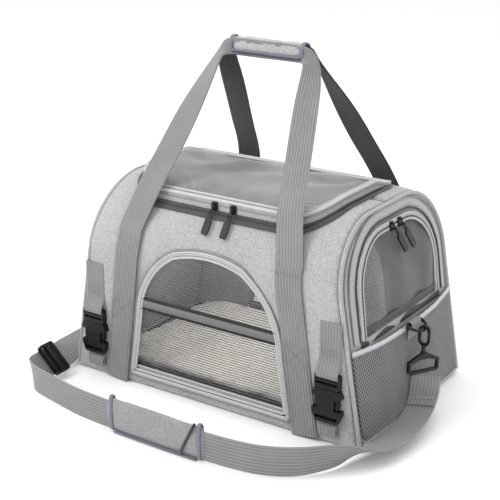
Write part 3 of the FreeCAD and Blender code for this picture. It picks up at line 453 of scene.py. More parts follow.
def finish_of(key):
    """The material for a finish, made once."""
    if key in FINISHES:
        return FINISHES[key]
    c = colours()
    made = {
        "cloth": lambda: heather_cloth("heather_cloth", list(c.cloth), list(c.cloth_dark)),
        "plain_cloth": lambda: heather_cloth("heather_cloth_trim", list(c.cloth), list(c.cloth_dark),
                                             mapped=False),
        "pad_cloth": lambda: heather_cloth("heather_cloth_pad", [v * 0.68 for v in c.cloth],
                                           [v * 0.68 for v in c.cloth_dark], mapped=False),
        "webbing": lambda: ribbed_webbing("ribbed_webbing", list(c.webbing)),
        # Darker copy of the webbing: painted shade for the back straps and loop.
        "back_webbing": lambda: ribbed_webbing("webbing_painted_shade", list(c.webbing_back_shaded)),
        "strap": lambda: ribbed_webbing("strap_webbing", list(c.webbing), 9, sizes().strap_wide),
        "binding": lambda: tape("binding_tape", list(c.binding)),
        "elastic": lambda: tape("elastic_tape", list(c.elastic), 2.0),
        "lavender": lambda: tape("end_binding_tape", list(c.lavender)),
        "thread": lambda: tape("sewing_thread", [v * 0.5 for v in c.binding]),
        # fold sets how strong the painted highlights are on each net.
        "net": lambda: open_net("window_net", list(c.net), 3.4, 1.6, 0.28, fold=0.2, upright=0.70),
        "door_net": lambda: open_net("door_net", list(c.door_net), 1.5, 1.5, 0.74, fold=0.35, sheen=0.15,
                                     rough=0.4),
        "lid_net": lambda: open_net("lid_net", list(c.lid_net), 1.4, 1.4, 0.66, fold=0.25, sheen=0.4,
                                    rough=0.45),
        "pocket": lambda: diamond_net("pocket_net", list(c.pocket)),
        "fleece": lambda: fleece_pile("fleece_pile", list(c.fleece)),
        "plastic": lambda: moulded_plastic("moulded_plastic", list(c.black)),
        "metal": lambda: dark_plate("dark_plate", list(c.metal)),
        "rubber": lambda: soft_rubber("soft_rubber", list(c.black)),
        "reflector": lambda: reflector("reflector_tape", list(c.black), list(c.silver), sizes().strip_low,
                                       sizes().strip_high),
        "zip": lambda: zip_tape("zip_coil", list(c.zipper)),
        "loop": lambda: loop_tape("loop_tape", list(c.black)),
        "floor": lambda: floor_card("floor_card", list(c.floor)),
    }
    FINISHES[key] = made[key]()
    return FINISHES[key]


# ---------------------------------------------------------------- mesh helpers

def unit(vectors):
    vectors = np.asarray(vectors, float)
    return vectors / np.maximum(np.linalg.norm(vectors, axis=-1, keepdims=True), 1e-12)


def add_mesh(name, points, faces, spots=None, smooth=True):
    """A new mesh object; spots are each point's place on the cloth, in metres."""
    mesh = bpy.data.meshes.new(name)
    mesh.from_pydata([tuple(p) for p in points], [], [tuple(int(i) for i in f) for f in faces])
    mesh.validate()
    mesh.update()
    if spots is not None:
        layer = mesh.uv_layers.new(name="Cloth")
        corners = np.zeros(len(mesh.loops), np.int32)
        mesh.loops.foreach_get("vertex_index", corners)
        layer.data.foreach_set("uv", np.asarray(spots, np.float32)[corners].ravel())
    if smooth:
        mesh.polygons.foreach_set("use_smooth", np.ones(len(mesh.polygons), bool))
    piece = bpy.data.objects.new(name, mesh)
    bpy.context.scene.collection.objects.link(piece)
    return piece


def trim(name, line, outs, section, finish, slot, body, *replaced, closed=False, scale=None):
    """Sweep a section along a line and finish it."""
    return finish_piece(sweep(name, line, outs, section, closed, scale), finish, slot, body, *replaced)


def finish_piece(piece, finish, slot, body, *replaced):
    """Give a piece its material and its body, and hide the plain parts it stands for; slot is not used.
    A body that is not a name leaves the piece unattached, with its transform baked into its mesh."""
    piece.data.materials.clear()
    piece.data.materials.append(finish_of(finish))
    if isinstance(body, str):
        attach(piece, body)
    else:
        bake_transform(piece)
    if replaced:
        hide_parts(*replaced)
    return piece


def even(points, step, closed=False):
    """Points a step apart along a line."""
    points = np.asarray(points, float)
    if closed:
        points = np.vstack([points, points[:1]])
    reach = np.concatenate([[0], np.cumsum(np.linalg.norm(np.diff(points, axis=0), axis=1))])
    count = max(int(round(reach[-1] / step)), 2)
    where = np.linspace(0, reach[-1], count + 1)
    spread = np.stack([np.interp(where, reach, points[:, k]) for k in range(points.shape[1])], axis=1)
    return spread[:-1] if closed else spread


def arc(start, end, radius, turn, count=14):
    """Points after start on an arc to end; turn +1 is anticlockwise."""
    start, end = np.array(start, float), np.array(end, float)
    chord = end - start
    left = np.array([-chord[1], chord[0]]) / np.linalg.norm(chord)
    rise = math.sqrt(max(radius ** 2 - (np.linalg.norm(chord) / 2) ** 2, 0))
    centre = (start + end) / 2 + left * (turn * rise)
    first = math.atan2(*(start - centre)[::-1])
    last = math.atan2(*(end - centre)[::-1])
    if turn > 0 and last < first:
        last += 2 * math.pi
    if turn < 0 and last > first:
        last -= 2 * math.pi
    return [centre + radius * np.array([math.cos(a),
                                        math.sin(a)]) for a in np.linspace(first, last, count)[1:]]


def arch(half, low, high, radius):
    """An upright arch, from its left foot over the top to its right foot."""
    line = [np.array([-half, low]), np.array([-half, high - radius])]
    line += arc(line[-1], (radius - half, high), radius, -1)
    line.append(np.array([half - radius, high]))
    line += arc(line[-1], (half, high - radius), radius, -1)
    line.append(np.array([half, low]))
    return np.array(line)


def smooth_line(knots, step=0.003):
    """A smooth line through a few points."""
    knots = [np.asarray(k, float) for k in knots]
    ends = [2 * knots[0] - knots[1]] + knots + [2 * knots[-1] - knots[-2]]
    line = []
    for a, b, c, d in zip(ends, ends[1:], ends[2:], ends[3:]):
        for t in np.linspace(0, 1, 13)[:-1]:
            line.append(0.5 * ((2 * b) + (c - a) * t + (2 * a - 5 * b + 4 * c - d) * t * t
                               + (3 * b - a - 3 * c + d) * t ** 3))
    line.append(knots[-1])
    return even(line, step)


def sweep(name, line, outs, section, closed=False, scale=None):
    """Carry a closed section along a line. Section points are (across, out), outs is the way out of
    the cloth at each point, and scale narrows the section along the way."""
    line = np.asarray(line, float)
    outs = unit(np.broadcast_to(np.asarray(outs, float), line.shape))
    section = np.asarray(section, float)
    ahead = np.roll(line, -1, axis=0) - np.roll(line, 1, axis=0)
    if not closed:
        ahead[0] = line[1] - line[0]
        ahead[-1] = line[-1] - line[-2]
    ahead = unit(ahead)
    across = unit(np.cross(ahead, outs))
    lift = np.cross(across, ahead)
    wide = np.ones((len(line), 2)) if scale is None else np.asarray(scale, float)
    points = (line[:, None] + across[:, None] * (section[None, :, :1] * wide[:, None, :1])
              + lift[:, None] * (section[None, :, 1:] * wide[:, None, 1:])).reshape(-1, 3)
    count, around = len(line), len(section)
    faces = []
    for i in range(count if closed else count - 1):
        here, there = i * around, ((i + 1) % count) * around
        for k in range(around):
            after = (k + 1) % around
            faces.append((here + k, here + after, there + after, there + k))
    if not closed:
        faces.append(tuple(range(around))[::-1])
        faces.append(tuple(range((count - 1) * around, count * around)))
    reach = np.concatenate([[0], np.cumsum(np.linalg.norm(np.diff(line, axis=0), axis=1))])
    spots = np.stack([np.repeat(reach, around), np.tile(section[:, 0], count)], axis=1)
    return add_mesh(name, points, faces, spots)


def ribbed(width, thick, ribs=9):
    """Section of webbing with lengthwise ribs on both faces."""
    steps = ribs * 4
    across = np.linspace(-width / 2, width / 2, steps + 1)
    wave = 0.09 * thick * np.cos(2 * math.pi * ribs * across / width)
    taper = np.clip((width / 2 - np.abs(across)) / (0.5 * thick), 0.25, 1)
    upper = np.stack([across, (thick / 2 - 0.09 * thick - wave) * taper], axis=1)
    lower = np.stack([across, -(thick / 2 - 0.09 * thick - wave) * taper], axis=1)
    return np.vstack([upper, lower[::-1]])


def flat_tape(width, thick, lift=0.0):
    """Section of a tape with soft edges."""
    edge = min(thick / 2, width / 2)
    across = [-width / 2, -width / 2 + edge, 0, width / 2 - edge, width / 2]
    high = [lift, lift + thick * 0.5, lift + thick * 0.62, lift + thick * 0.5, lift]
    low = [lift - thick * 0.1, lift - thick * 0.4, lift - thick * 0.4]
    return np.array(list(zip(across,
                             high)) + [(across[4], low[0]), (across[3], low[1]), (across[1], low[2]),
                                       (across[0], low[0])])


def round_bar(radius, sides=10, across=0.0, out=0.0):
    """Round section."""
    turns = np.linspace(0, 2 * math.pi, sides, endpoint=False)
    return np.stack([across + radius * np.cos(turns), out + radius * np.sin(turns)], axis=1)


def inside(points, outline):
    """Which points lie inside a closed outline."""
    within = np.zeros(len(points), bool)
    before = outline[-1]
    for corner in outline:
        crosses = (corner[1] > points[:, 1]) != (before[1] > points[:, 1])
        rise = before[1] - corner[1]
        rise = rise if abs(rise) > 1e-12 else 1e-12
        at = (before[0] - corner[0]) * (points[:, 1] - corner[1]) / rise + corner[0]
        within ^= crosses & (points[:, 0] < at)
        before = corner
    return within


def gap_to(points, line, closed=True):
    """Distance from each point to the nearest place on a line."""
    line = np.asarray(line, float)
    ends = np.roll(line, -1, axis=0) if closed else line[1:]
    starts = line if closed else line[:-1]
    nearest = np.full(len(points), 1e9)
    for a, b in zip(starts, ends):
        along = b - a
        share = np.clip(((points - a) @ along) / max(along @ along, 1e-18), 0, 1)
        nearest = np.minimum(nearest, np.linalg.norm(points - a - share[:, None] * along, axis=1))
    return nearest


def cut_cloth(name, outline, place, holes=(), step=0.006):
    """Cloth cut to a flat outline with holes, meshed finely and put in place by a function of its
    flat points and their distance from the nearest edge."""
    rims = [even(r, step, closed=True) for r in (outline, *holes)]
    low, high = rims[0].min(axis=0), rims[0].max(axis=0)
    rows = np.arange(low[1] + step / 2, high[1], step * 0.87)
    grid = [(x + (step / 2 if i % 2 else 0), y) for i,
            y in enumerate(rows) for x in np.arange(low[0], high[0], step)]
    grid = np.array(grid)
    keep = inside(grid, rims[0]) & (gap_to(grid, rims[0]) > step * 0.45)
    for rim in rims[1:]:
        keep &= ~inside(grid, rim) & (gap_to(grid, rim) > step * 0.45)
    points = [tuple(p) for rim in rims for p in rim] + [tuple(p) for p in grid[keep]]
    edges = []
    start = 0
    for rim in rims:
        edges += [(start + i, start + (i + 1) % len(rim)) for i in range(len(rim))]
        start += len(rim)
    flat, joined, faces = delaunay_2d_cdt([Vector(p) for p in points], edges, [], 0, 1e-7)[:3]
    flat = np.array([tuple(p) for p in flat])
    middles = np.array([flat[list(f)].mean(axis=0) for f in faces])
    good = inside(middles, rims[0])
    for rim in rims[1:]:
        good &= ~inside(middles, rim)
    faces = [f for f, ok in zip(faces, good) if ok]
    gap = np.min([gap_to(flat, rim) for rim in rims], axis=0)
    return add_mesh(name, place(flat[:, 0], flat[:, 1], gap), faces, flat)


def face_away(piece):
    """Turn a panel of cloth so that its normals point out of the bag."""
    middle = np.array([0, MIDDLE, TOP / 3])
    if sum(float((np.array(f.center) - middle) @ np.array(f.normal)) for f in piece.data.polygons) < 0:
        piece.data.flip_normals()


def thicken(piece, thick, offset=-1.0):
    """Give cloth its thickness."""
    solid = piece.modifiers.new("thickness", "SOLIDIFY")
    solid.thickness = thick
    solid.offset = offset
    solid.use_even_offset = False
    return piece


def stretched(piece, outline, *holders):
    """Turn the outline into an array, and nothing else; the panel and its frame are not used."""
    outline = np.asarray(outline, float)


def rumple(points, scale, height, seed=0.0):
    """Soft unevenness of cloth, from its place."""
    places = [Vector((p[0] * scale + seed, p[1] * scale, p[2] * scale)) for p in points]
    return height * np.array([noise.noise(place) for place in places])


def stitches(name, line, outs, body, slot, finish="thread", length=0.0032, gap=0.0016, radius=0.0004):
    """A row of separate stitches along a line."""
    spaced = even(np.hstack([line, np.broadcast_to(outs, np.shape(line))]), (length + gap) / 2)
    points, faces, spots = [], [], []
    for i in range(0, len(spaced) - 1, 2):
        a, b, out = spaced[i, :3], spaced[i + 1, :3], unit(spaced[i, 3:])
        along = unit(b - a)
        side = unit(np.cross(along, out))
        base = len(points)
        reach = length / 2
        middle = (a + b) / 2
        for t, fat in ((-1, 0.3), (-0.6, 1), (0.6, 1), (1, 0.3)):
            for turn in np.linspace(0, 2 * math.pi, 6, endpoint=False):
                lift = radius * fat * (side * math.cos(turn) + out * (math.sin(turn) + 0.6))
                points.append(middle + along * reach * t + lift)
                spots.append((t * reach, 0.0))
        for ring in range(3):
            for k in range(6):
                faces.append((base + ring * 6 + k, base + ring * 6 + (k + 1) % 6,
                              base + ring * 6 + 6 + (k + 1) % 6, base + ring * 6 + 6 + k))
        faces.append(tuple(base + k for k in range(6))[::-1])
        faces.append(tuple(base + 18 + k for k in range(6)))
    piece = add_mesh(name, points, faces, spots)
    return finish_piece(piece, finish, slot, body)


def soften(node, finish, width=0.0006, segments=2):
    """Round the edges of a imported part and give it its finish."""
    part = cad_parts[node]
    part.data.materials.clear()
    part.data.materials.append(finish_of(finish))
    bevel = part.modifiers.new("soft edges", "BEVEL")
    bevel.width = width
    bevel.segments = segments
    bevel.limit_method = "ANGLE"
    bevel.angle_limit = math.radians(35)
    bevel.harden_normals = False
    return part


def swell(piece, pressure, limit, voxel=0.005, frames=20):
    """Inflate a closed sewn piece by cloth simulation, hold each point within a limit and smooth it."""
    view = bpy.context.view_layer
    mesh = piece.modifiers.new("remesh", "REMESH")
    mesh.mode = "VOXEL"
    mesh.voxel_size = voxel
    mesh.use_smooth_shade = True
    apply_modifiers(piece)
    start = np.zeros(len(piece.data.vertices) * 3, np.float32)
    piece.data.vertices.foreach_get("co", start)
    cloth = piece.modifiers.new("cloth", "CLOTH")
    cloth.settings.use_pressure = True
    cloth.settings.uniform_pressure_force = pressure
    cloth.settings.effector_weights.gravity = 0
    cloth.settings.tension_stiffness = 12
    cloth.settings.bending_stiffness = 0.4
    for number in range(1, frames + 1):
        bpy.context.scene.frame_set(number)
    view.update()
    apply_modifiers(piece)
    bpy.context.scene.frame_set(1)
    end = np.zeros_like(start)
    piece.data.vertices.foreach_get("co", end)
    move = (end - start).reshape(-1, 3)
    far = np.linalg.norm(move, axis=1, keepdims=True)
    move *= np.minimum(1, limit / np.maximum(far, 1e-9))
    piece.data.vertices.foreach_set("co", (start.reshape(-1, 3) + move).ravel())
    smooth = piece.modifiers.new("smooth", "SUBSURF")
    smooth.levels = smooth.render_levels = 1
    apply_modifiers(piece)
    piece.data.polygons.foreach_set("use_smooth", np.ones(len(piece.data.polygons), bool))
    return piece


def apply_modifiers(piece):
    """Make the piece's modifiers part of its mesh."""
    view = bpy.context.view_layer
    view.update()
    solid = piece.evaluated_get(view.depsgraph)
    mesh = bpy.data.meshes.new_from_object(solid, preserve_all_data_layers=True, depsgraph=view.depsgraph)
    piece.modifiers.clear()
    piece.data = mesh


# ---------------------------------------------------------------- surfaces of the carrier

def flat_rise():
    """Height at which the front and back walls begin to curve over."""
    return TOP - sizes().shoulder


def over_arc():
    """Length of cloth round one shoulder."""
    return sizes().shoulder * math.pi / 2


def seam_reach():
    """Distance up the wall and over to the middle line of the top."""
    return flat_rise() + over_arc() + HALF_DEPTH - sizes().shoulder


def tunnel(front, x, up, lift=0.0):
    """A place on the front (-1) or back (+1) wall: across, distance up the cloth, and out from it."""
    radius = sizes().shoulder
    x, up = np.broadcast_arrays(np.asarray(x, float), np.asarray(up, float))
    turn = np.clip((up - flat_rise()) / radius, 0, math.pi / 2)
    over = np.maximum(up - flat_rise() - over_arc(), 0)
    out = HALF_DEPTH - radius + (radius + lift) * np.cos(turn) - over
    height = np.where(up < flat_rise(), up, flat_rise() + (radius + lift) * np.sin(turn))
    return np.stack([x, MIDDLE + front * out, height], axis=-1)


def tunnel_out(front, up):
    """Which way faces out of the wall at that distance up it."""
    turn = np.clip((np.asarray(up, float) - flat_rise()) / sizes().shoulder, 0, math.pi / 2)
    return np.stack([np.zeros_like(turn), front * np.cos(turn), np.sin(turn)], axis=-1)


def reach_of_height(height):
    """Distance up the wall of a given height."""
    height = np.asarray(height, float)
    share = np.clip((height - flat_rise()) / sizes().shoulder, 0, 1)
    return np.where(height < flat_rise(), height, flat_rise() + sizes().shoulder * np.arcsin(share))


def reach_of_depth(out):
    """Distance up the wall of a given distance out from the middle plane."""
    radius = sizes().shoulder
    share = np.clip((np.asarray(out, float) - (HALF_DEPTH - radius)) / radius, 0, 1)
    return np.where(out > HALF_DEPTH - radius, flat_rise() + radius * np.arccos(share), seam_reach() - out)


def half_length_at(height):
    """Half length of the leaning body at a height."""
    return HALF_LENGTH - sizes().lean * np.asarray(height, float) / TOP


def end_seam():
    """Outline of an end along its piping, across and up the leaning end."""
    slope = math.sqrt(1 + (sizes().lean / TOP) ** 2)
    return arch(HALF_DEPTH - 0.0025, 0.004, TOP * slope - 0.0025, sizes().shoulder - 0.0025)


def end_swell(across, up):
    """How far the padded end stands out of its seam."""
    flat = np.stack([np.ravel(across), np.ravel(up)], axis=1)
    gap = gap_to(flat, end_seam(), closed=False).reshape(np.shape(across))
    share = np.clip(gap / SWELL_REACH, 0, 1)
    foot = np.clip((np.asarray(up) - SWELL_FOOT) / SWELL_RISE, 0, 1)
    return sizes().dome * share ** 2 * (3 - 2 * share) * foot ** 2 * (3 - 2 * foot)


def on_end(side, across, up, out):
    """A place on a leaning end: across it, up it and out of it."""
    tilt = math.atan(sizes().lean / TOP)
    across, up, out = np.broadcast_arrays(*(np.asarray(v, float) for v in (across, up, out)))
    x = HALF_LENGTH + out * math.cos(tilt) - up * math.sin(tilt)
    return np.stack([side * x, MIDDLE + side * across, up * math.cos(tilt) + out * math.sin(tilt)], axis=-1)


def end_out(side):
    """The way out of a leaning end."""
    tilt = math.atan(sizes().lean / TOP)
    return np.array([side * math.cos(tilt), 0, math.sin(tilt)])


def end_line(side, outline, out, step=0.004, closed=False):
    """A line on the swollen end along an outline, at a height out of it."""
    flat = even(outline, step, closed)
    return on_end(side, flat[:, 0], flat[:, 1], out + end_swell(flat[:, 0], flat[:, 1]))


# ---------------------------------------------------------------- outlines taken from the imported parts

def window_outline(inset=0.0):
    """Outline of a window in height and width: splayed foot, curved sides and a flat-topped arch."""
    low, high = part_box("front_window_mesh")
    half = high[0] - inset
    waist = half * WAIST_SHARE
    crown = half * CROWN_SHARE + inset * 0.4
    foot = low[2] + 0.006 + inset
    crown_up = CROWN_UP - inset
    side = SIDE_ARC - inset
    line = [np.array([-half, foot]), np.array([half, foot]), np.array([waist, WAIST_UP])]
    line += arc(line[-1], (crown, crown_up), side, 1)
    line += arc(line[-1], (-crown, crown_up), TOP_ARC - inset, 1)
    line += arc(line[-1], (-waist, WAIST_UP), side, 1)
    return np.array(line)


def on_wall(outline):
    """The same outline as distances across and up the cloth."""
    dense = even(outline, 0.004, closed=True)
    return np.stack([dense[:, 0], reach_of_height(dense[:, 1])], axis=1)


def lid_plan(inset=0.0, back=0.0):
    """Plan of the lid from its back left corner round the front to its back right corner, as
    across and out towards the front."""
    half = sizes().lid_half - inset
    front = sizes().lid_front - inset
    corner = sizes().lid_corner - inset
    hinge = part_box("lid_band")[1][1] - MIDDLE
    line = [np.array([-half, -hinge + back]), np.array([-half, front - corner])]
    line += arc(line[-1], (corner - half, front), corner, -1)
    line.append(np.array([half - corner, front]))
    line += arc(line[-1], (half, front - corner), corner, -1)
    line.append(np.array([half, -hinge + back]))
    return np.array(line)


def door_arch(inset=0.0):
    """Outline of a door, across and up the leaning end."""
    return arch(DOOR_HALF - inset, DOOR_SILL, DOOR_CROWN - inset, DOOR_CORNER - inset)


# ---------------------------------------------------------------- stage and strap

STRAP_ROUTE = [
    ((0.238, 0.0046, 0.052), (0.6, 0.8, 0)),
    ((0.244, -0.004, 0.030), (0.94, 0.3, 0.2)),
    ((0.252, -0.044, 0.019), (1, 0.1, 0.1)),
    ((0.254, -0.092, 0.014), (1, 0, 0.1)),
    ((0.246, -0.142, 0.014), (1, 0, 0.2)),
    ((0.224, -0.188, 0.0215), (0.4, 0.1, 0.9)),
    ((0.186, -0.234, 0.021), (0, 0, 1)),
    ((0.118, -0.256, 0.021), (0, 0, 1)),
    ((-0.100, -0.254, 0.021), (0, 0, 1)),
    ((-0.168, -0.240, 0.021), (0, 0, 1)),
    ((-0.222, -0.228, 0.021), (0, 0, 1)),
    ((-0.231, -0.198, 0.020), (-0.7, 0, 0.7)),
    ((-0.233, -0.152, 0.019), (-0.72, 0, 0.68)),
    ((-0.250, -0.104, 0.018), (-1, 0, 0.2)),
    ((-0.252, -0.050, 0.019), (-1, 0.1, 0.1)),
    ((-0.244, -0.004, 0.030), (-0.94, 0.3, 0.2)),
    ((-0.238, 0.0046, 0.052), (-0.6, 0.8, 0)),
]


class CARRIER_OT_stage(bpy.types.Operator):
    """Lay the studio floor, hang the lights and set the camera"""
    bl_idname = "carrier.stage"
    bl_label = "Stage"

    def execute(self, context):
        scene = context.scene
        bpy.ops.mesh.primitive_plane_add(size=14, location=(0, 0, -0.0005))
        floor = context.object
        floor.name = "studio_floor"
        floor.data.materials.append(finish_of("floor"))
        world = bpy.data.worlds.new("studio")
        world.use_nodes = True
        world.node_tree.nodes["Background"].inputs[0].default_value = (1, 1, 1, 1)
        world.node_tree.nodes["Background"].inputs[1].default_value = 1.0
        scene.world = world
        target = Vector(CAMERA_TARGET)
        for name, place, power, width in LAMPS:
            light = bpy.data.lights.new(name, "AREA")
            light.energy = power
            light.size = width
            lamp = bpy.data.objects.new(name, light)
            lamp.location = place
            aim = Vector(INSIDE_TARGET) if name == "inside" else target
            lamp.rotation_euler = (aim - Vector(place)).to_track_quat("-Z", "Y").to_euler()
            scene.collection.objects.link(lamp)
        camera = bpy.data.objects.new("camera", bpy.data.cameras.new("camera"))
        camera.data.lens = CAMERA_LENS
        camera.data.sensor_width = 36
        camera.location = Vector(CAMERA_PLACE)
        camera.rotation_mode = "QUATERNION"
        camera.rotation_quaternion = (target - camera.location).to_track_quat("-Z", "Y")
        scene.collection.objects.link(camera)
        scene.camera = camera
        scene.view_settings.view_transform = "Standard"
        return {"FINISHED"}


def strap_line():
    """The strap's own smooth line, with the way its width lies and the way out of its face."""
    curve = bpy.data.curves.new("strap_route", "CURVE")
    curve.dimensions = "3D"
    spline = curve.splines.new("NURBS")
    spline.points.add(len(STRAP_ROUTE) - 1)
    for knot, (point, width) in zip(spline.points, STRAP_ROUTE):
        knot.co = (*point, 1)
    spline.order_u = 3
    spline.use_endpoint_u = True
    spline.resolution_u = 16
    guide = bpy.data.objects.new("strap_route", curve)
    bpy.context.scene.collection.objects.link(guide)
    mesh = bpy.data.meshes.new_from_object(guide)
    line = even([tuple(v.co) for v in mesh.vertices], 0.003)
    bpy.data.objects.remove(guide)
    knots = np.array([point for point, width in STRAP_ROUTE])
    widths = unit(np.array([width for point, width in STRAP_ROUTE], float))
    chain = np.concatenate([[0], np.cumsum(np.linalg.norm(np.diff(knots, axis=0), axis=1))])
    reach = np.linspace(0, chain[-1], 600)
    polygon = np.stack([np.interp(reach, chain, knots[:, k]) for k in range(3)], axis=1)
    spread = np.stack([np.interp(reach, chain, widths[:, k]) for k in range(3)], axis=1)
    nearest = np.array([np.argmin(np.linalg.norm(polygon - p, axis=1)) for p in line])
    nearest = np.maximum.accumulate(nearest)
    across = spread[nearest]
    kernel = np.ones(9) / 9
    padded = np.pad(across, ((4, 4), (0, 0)), mode="edge")
    across = unit(np.stack([np.convolve(padded[:, k], kernel, mode="valid") for k in range(3)], axis=1))
    ahead = unit(np.gradient(line, axis=0))
    outs = unit(np.cross(across, ahead))
    return line, across, outs


class CARRIER_OT_shoulder_strap(bpy.types.Operator):
    """Lay the shoulder strap along its route, with its sewn ends, pad and adjuster"""
    bl_idname = "carrier.shoulder_strap"
    bl_label = "Shoulder strap"

    def execute(self, context):
        s = sizes()
        line, across, outs = strap_line()
        strap = sweep("strap_webbing", line, outs, ribbed(s.strap_wide, s.strap_thick))
        finish_piece(strap, "strap", "webbing", "carrier", "shoulder_strap")
        for name, picked, way in (("right", slice(0, 16), 1), ("left", slice(-16, None), -1)):
            short = line[picked]
            face = outs[picked]
            lift = face * (s.strap_thick * 1.02)
            facing = np.sign((face @ np.array([way, 0, 0])).mean()) or 1
            fold = sweep("strap_end_" + name, short + lift * facing, face,
                         ribbed(s.strap_wide * 0.99, s.strap_thick * 0.9))
            finish_piece(fold, "strap", "webbing", "carrier")
            seam_at = 11 if way > 0 else -12
            seam = np.array([line[seam_at] + across[seam_at] * t for t in np.linspace(-0.017, 0.017, 12)])
            seam = seam + outs[seam_at] * facing * s.strap_thick * 2.0
            stitches("strap_end_seam_" + name, seam, outs[seam_at] * facing, "carrier",
                                 "webbing", finish="binding", radius=0.0006)
        cushion = self.pad(line)
        soften("triglide", "plastic", 0.0012, 3)
        return {"FINISHED"}

    def pad(self, line):
        """Cushioned sleeve round the front run, with bound edges and the lap of its flap."""
        low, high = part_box("shoulder_pad")
        near = [i for i, p in enumerate(line) if low[0] < p[0] < high[0] and p[1] < -0.2]
        run = even(line[near], 0.004)
        half_high = (high[2] - low[2]) / 2
        rise = (high[2] + low[2]) / 2 - run[:, 2].mean()
        core = run + UP * rise
        swing = np.array([0, -1, 0.0])
        fat = (high[1] - low[1]) / 2 - 0.0035
        count = 14
        turns = np.linspace(0, 2 * math.pi, count * 2, endpoint=False)
        section = np.stack([half_high * 0.93 * np.sign(np.cos(turns)) * np.abs(np.cos(turns)) ** 0.55,
                            fat * 0.62 * np.sign(np.sin(turns)) * np.abs(np.sin(turns)) ** 0.7], axis=1)
        share = np.linspace(-1, 1, len(core))
        scale = np.stack([1 - 0.05 * np.abs(share) ** 8, 0.55 + 0.45 * (1 - np.abs(share) ** 6)], axis=1)
        sleeve = sweep("pad_sleeve", core, swing, section, scale=scale)
        swell(sleeve, 3.0, 0.005)
        points = np.array([tuple(v.co) for v in sleeve.data.vertices])
        dent = rumple(points, 38, 0.0016, 5) + rumple(points, 110, 0.0005, 9)
        for vertex, move in zip(sleeve.data.vertices, dent):
            vertex.co += vertex.normal * float(move)
        finish_piece(sleeve, "pad_cloth", "padded_cloth", "shoulder_pad", "shoulder_pad")
        pieces = [sleeve]
        rim = np.stack([section[:, 0] * 1.015, section[:, 1] * 1.25], axis=1)
        for name, at in (("left", 2), ("right", len(core) - 3)):
            loop = core[at] + UP * rim[:, :1] * 1.0 + np.array([0, -1, 0]) * rim[:, 1:]
            outwards = unit(loop - core[at])
            band = sweep("pad_binding_" + name, loop, outwards, flat_tape(0.0055, 0.0014), closed=True)
            finish_piece(band, "lavender", "binding", "shoulder_pad")
            pieces.append(band)
        foot = core - UP * (half_high * 0.985) + swing * 0.0015
        hem = sweep("pad_hem", foot[3:-3], -UP, flat_tape(0.0075, 0.0016))
        finish_piece(hem, "lavender", "binding", "shoulder_pad")
        pieces.append(hem)
        lap_at = int(len(core) * 0.16)
        slant = np.linspace(0.96, -0.96, 16)
        lap = np.array([core[lap_at] + np.array([0.012 * t, 0, half_high * t]) for t in slant])
        rounding = np.clip(1 - np.linspace(0.9, -0.9, 16)[:, None] ** 4, 0.1, 1)
        lap = lap + swing * fat * 1.02 * np.sqrt(rounding)
        edge = sweep("pad_flap_edge", lap, swing, flat_tape(0.004, 0.0018))
        finish_piece(edge, "loop", "padded_cloth", "shoulder_pad")
        pieces.append(edge)
        return pieces


# ---------------------------------------------------------------- body cloth

def wall_cut(front):
    """Flat outline of a front or back panel, with the lid opening cut from its top."""
    reach = seam_reach()
    rows = np.linspace(0.004, reach, 60)
    heights = tunnel(front, 0, rows)[:, 2]
    side = half_length_at(heights) - 0.001
    opening = lid_plan(0.008)
    plan = even(opening, 0.006)
    toward = plan[:, 1] * (1 if front < 0 else -1)
    keep = toward >= 0
    mouth = np.stack([plan[keep, 0], reach_of_depth(toward[keep])], axis=1)
    right = np.stack([side, rows], axis=1)
    left = right[::-1] * (-1, 1)
    if front < 0:
        return np.vstack([right, [(mouth[-1, 0], reach)], mouth[::-1], [(mouth[0, 0], reach)], left])
    hinge = reach_of_depth(0.060)
    half = sizes().lid_half - 0.008
    return np.vstack([right, [(half, reach), (half, hinge), (-half, hinge), (-half, reach)], left])


class CARRIER_OT_body_cloth(bpy.types.Operator):
    """Cut and sew the padded front and back panels and the base"""
    bl_idname = "carrier.body_cloth"
    bl_label = "Body cloth"

    def execute(self, context):
        s = sizes()
        for name, front in (("front", -1), ("back", 1)):
            def place(across, up, gap, front=front):
                flat = np.stack([across, up, np.zeros_like(up)], axis=1)
                puff = s.puff * (1 - np.exp(-gap / 0.012)) - 0.0006
                puff = puff + rumple(flat, 17, 0.0016, 3 * front) + rumple(flat, 55, 0.0005, 7 * front)
                return tunnel(front, across, up, puff)
            panel = cut_cloth(name + "_cloth", wall_cut(front), place, [on_wall(window_outline(-0.001))])
            face_away(panel)
            thicken(panel, s.cloth)
            finish_piece(panel, "cloth", "body_cloth", "carrier", name + "_panel")
        low, high = BASE
        flat = even([(low[0], low[1]), (high[0], low[1]), (high[0], high[1]), (low[0], high[1])], 0.01,
                    closed=True)

        def lay(across, back, gap):
            dip = 0.0018 * np.exp(-gap / 0.006)
            return np.stack([across, back, 0.0006 + dip], axis=1)
        base = cut_cloth("base_cloth", flat, lay, step=0.012)
        thicken(base, 0.003, 1.0)
        finish_piece(base, "cloth", "body_cloth", "carrier", "base_panel")
        soften("base_board", "plastic", 0.001)
        return {"FINISHED"}


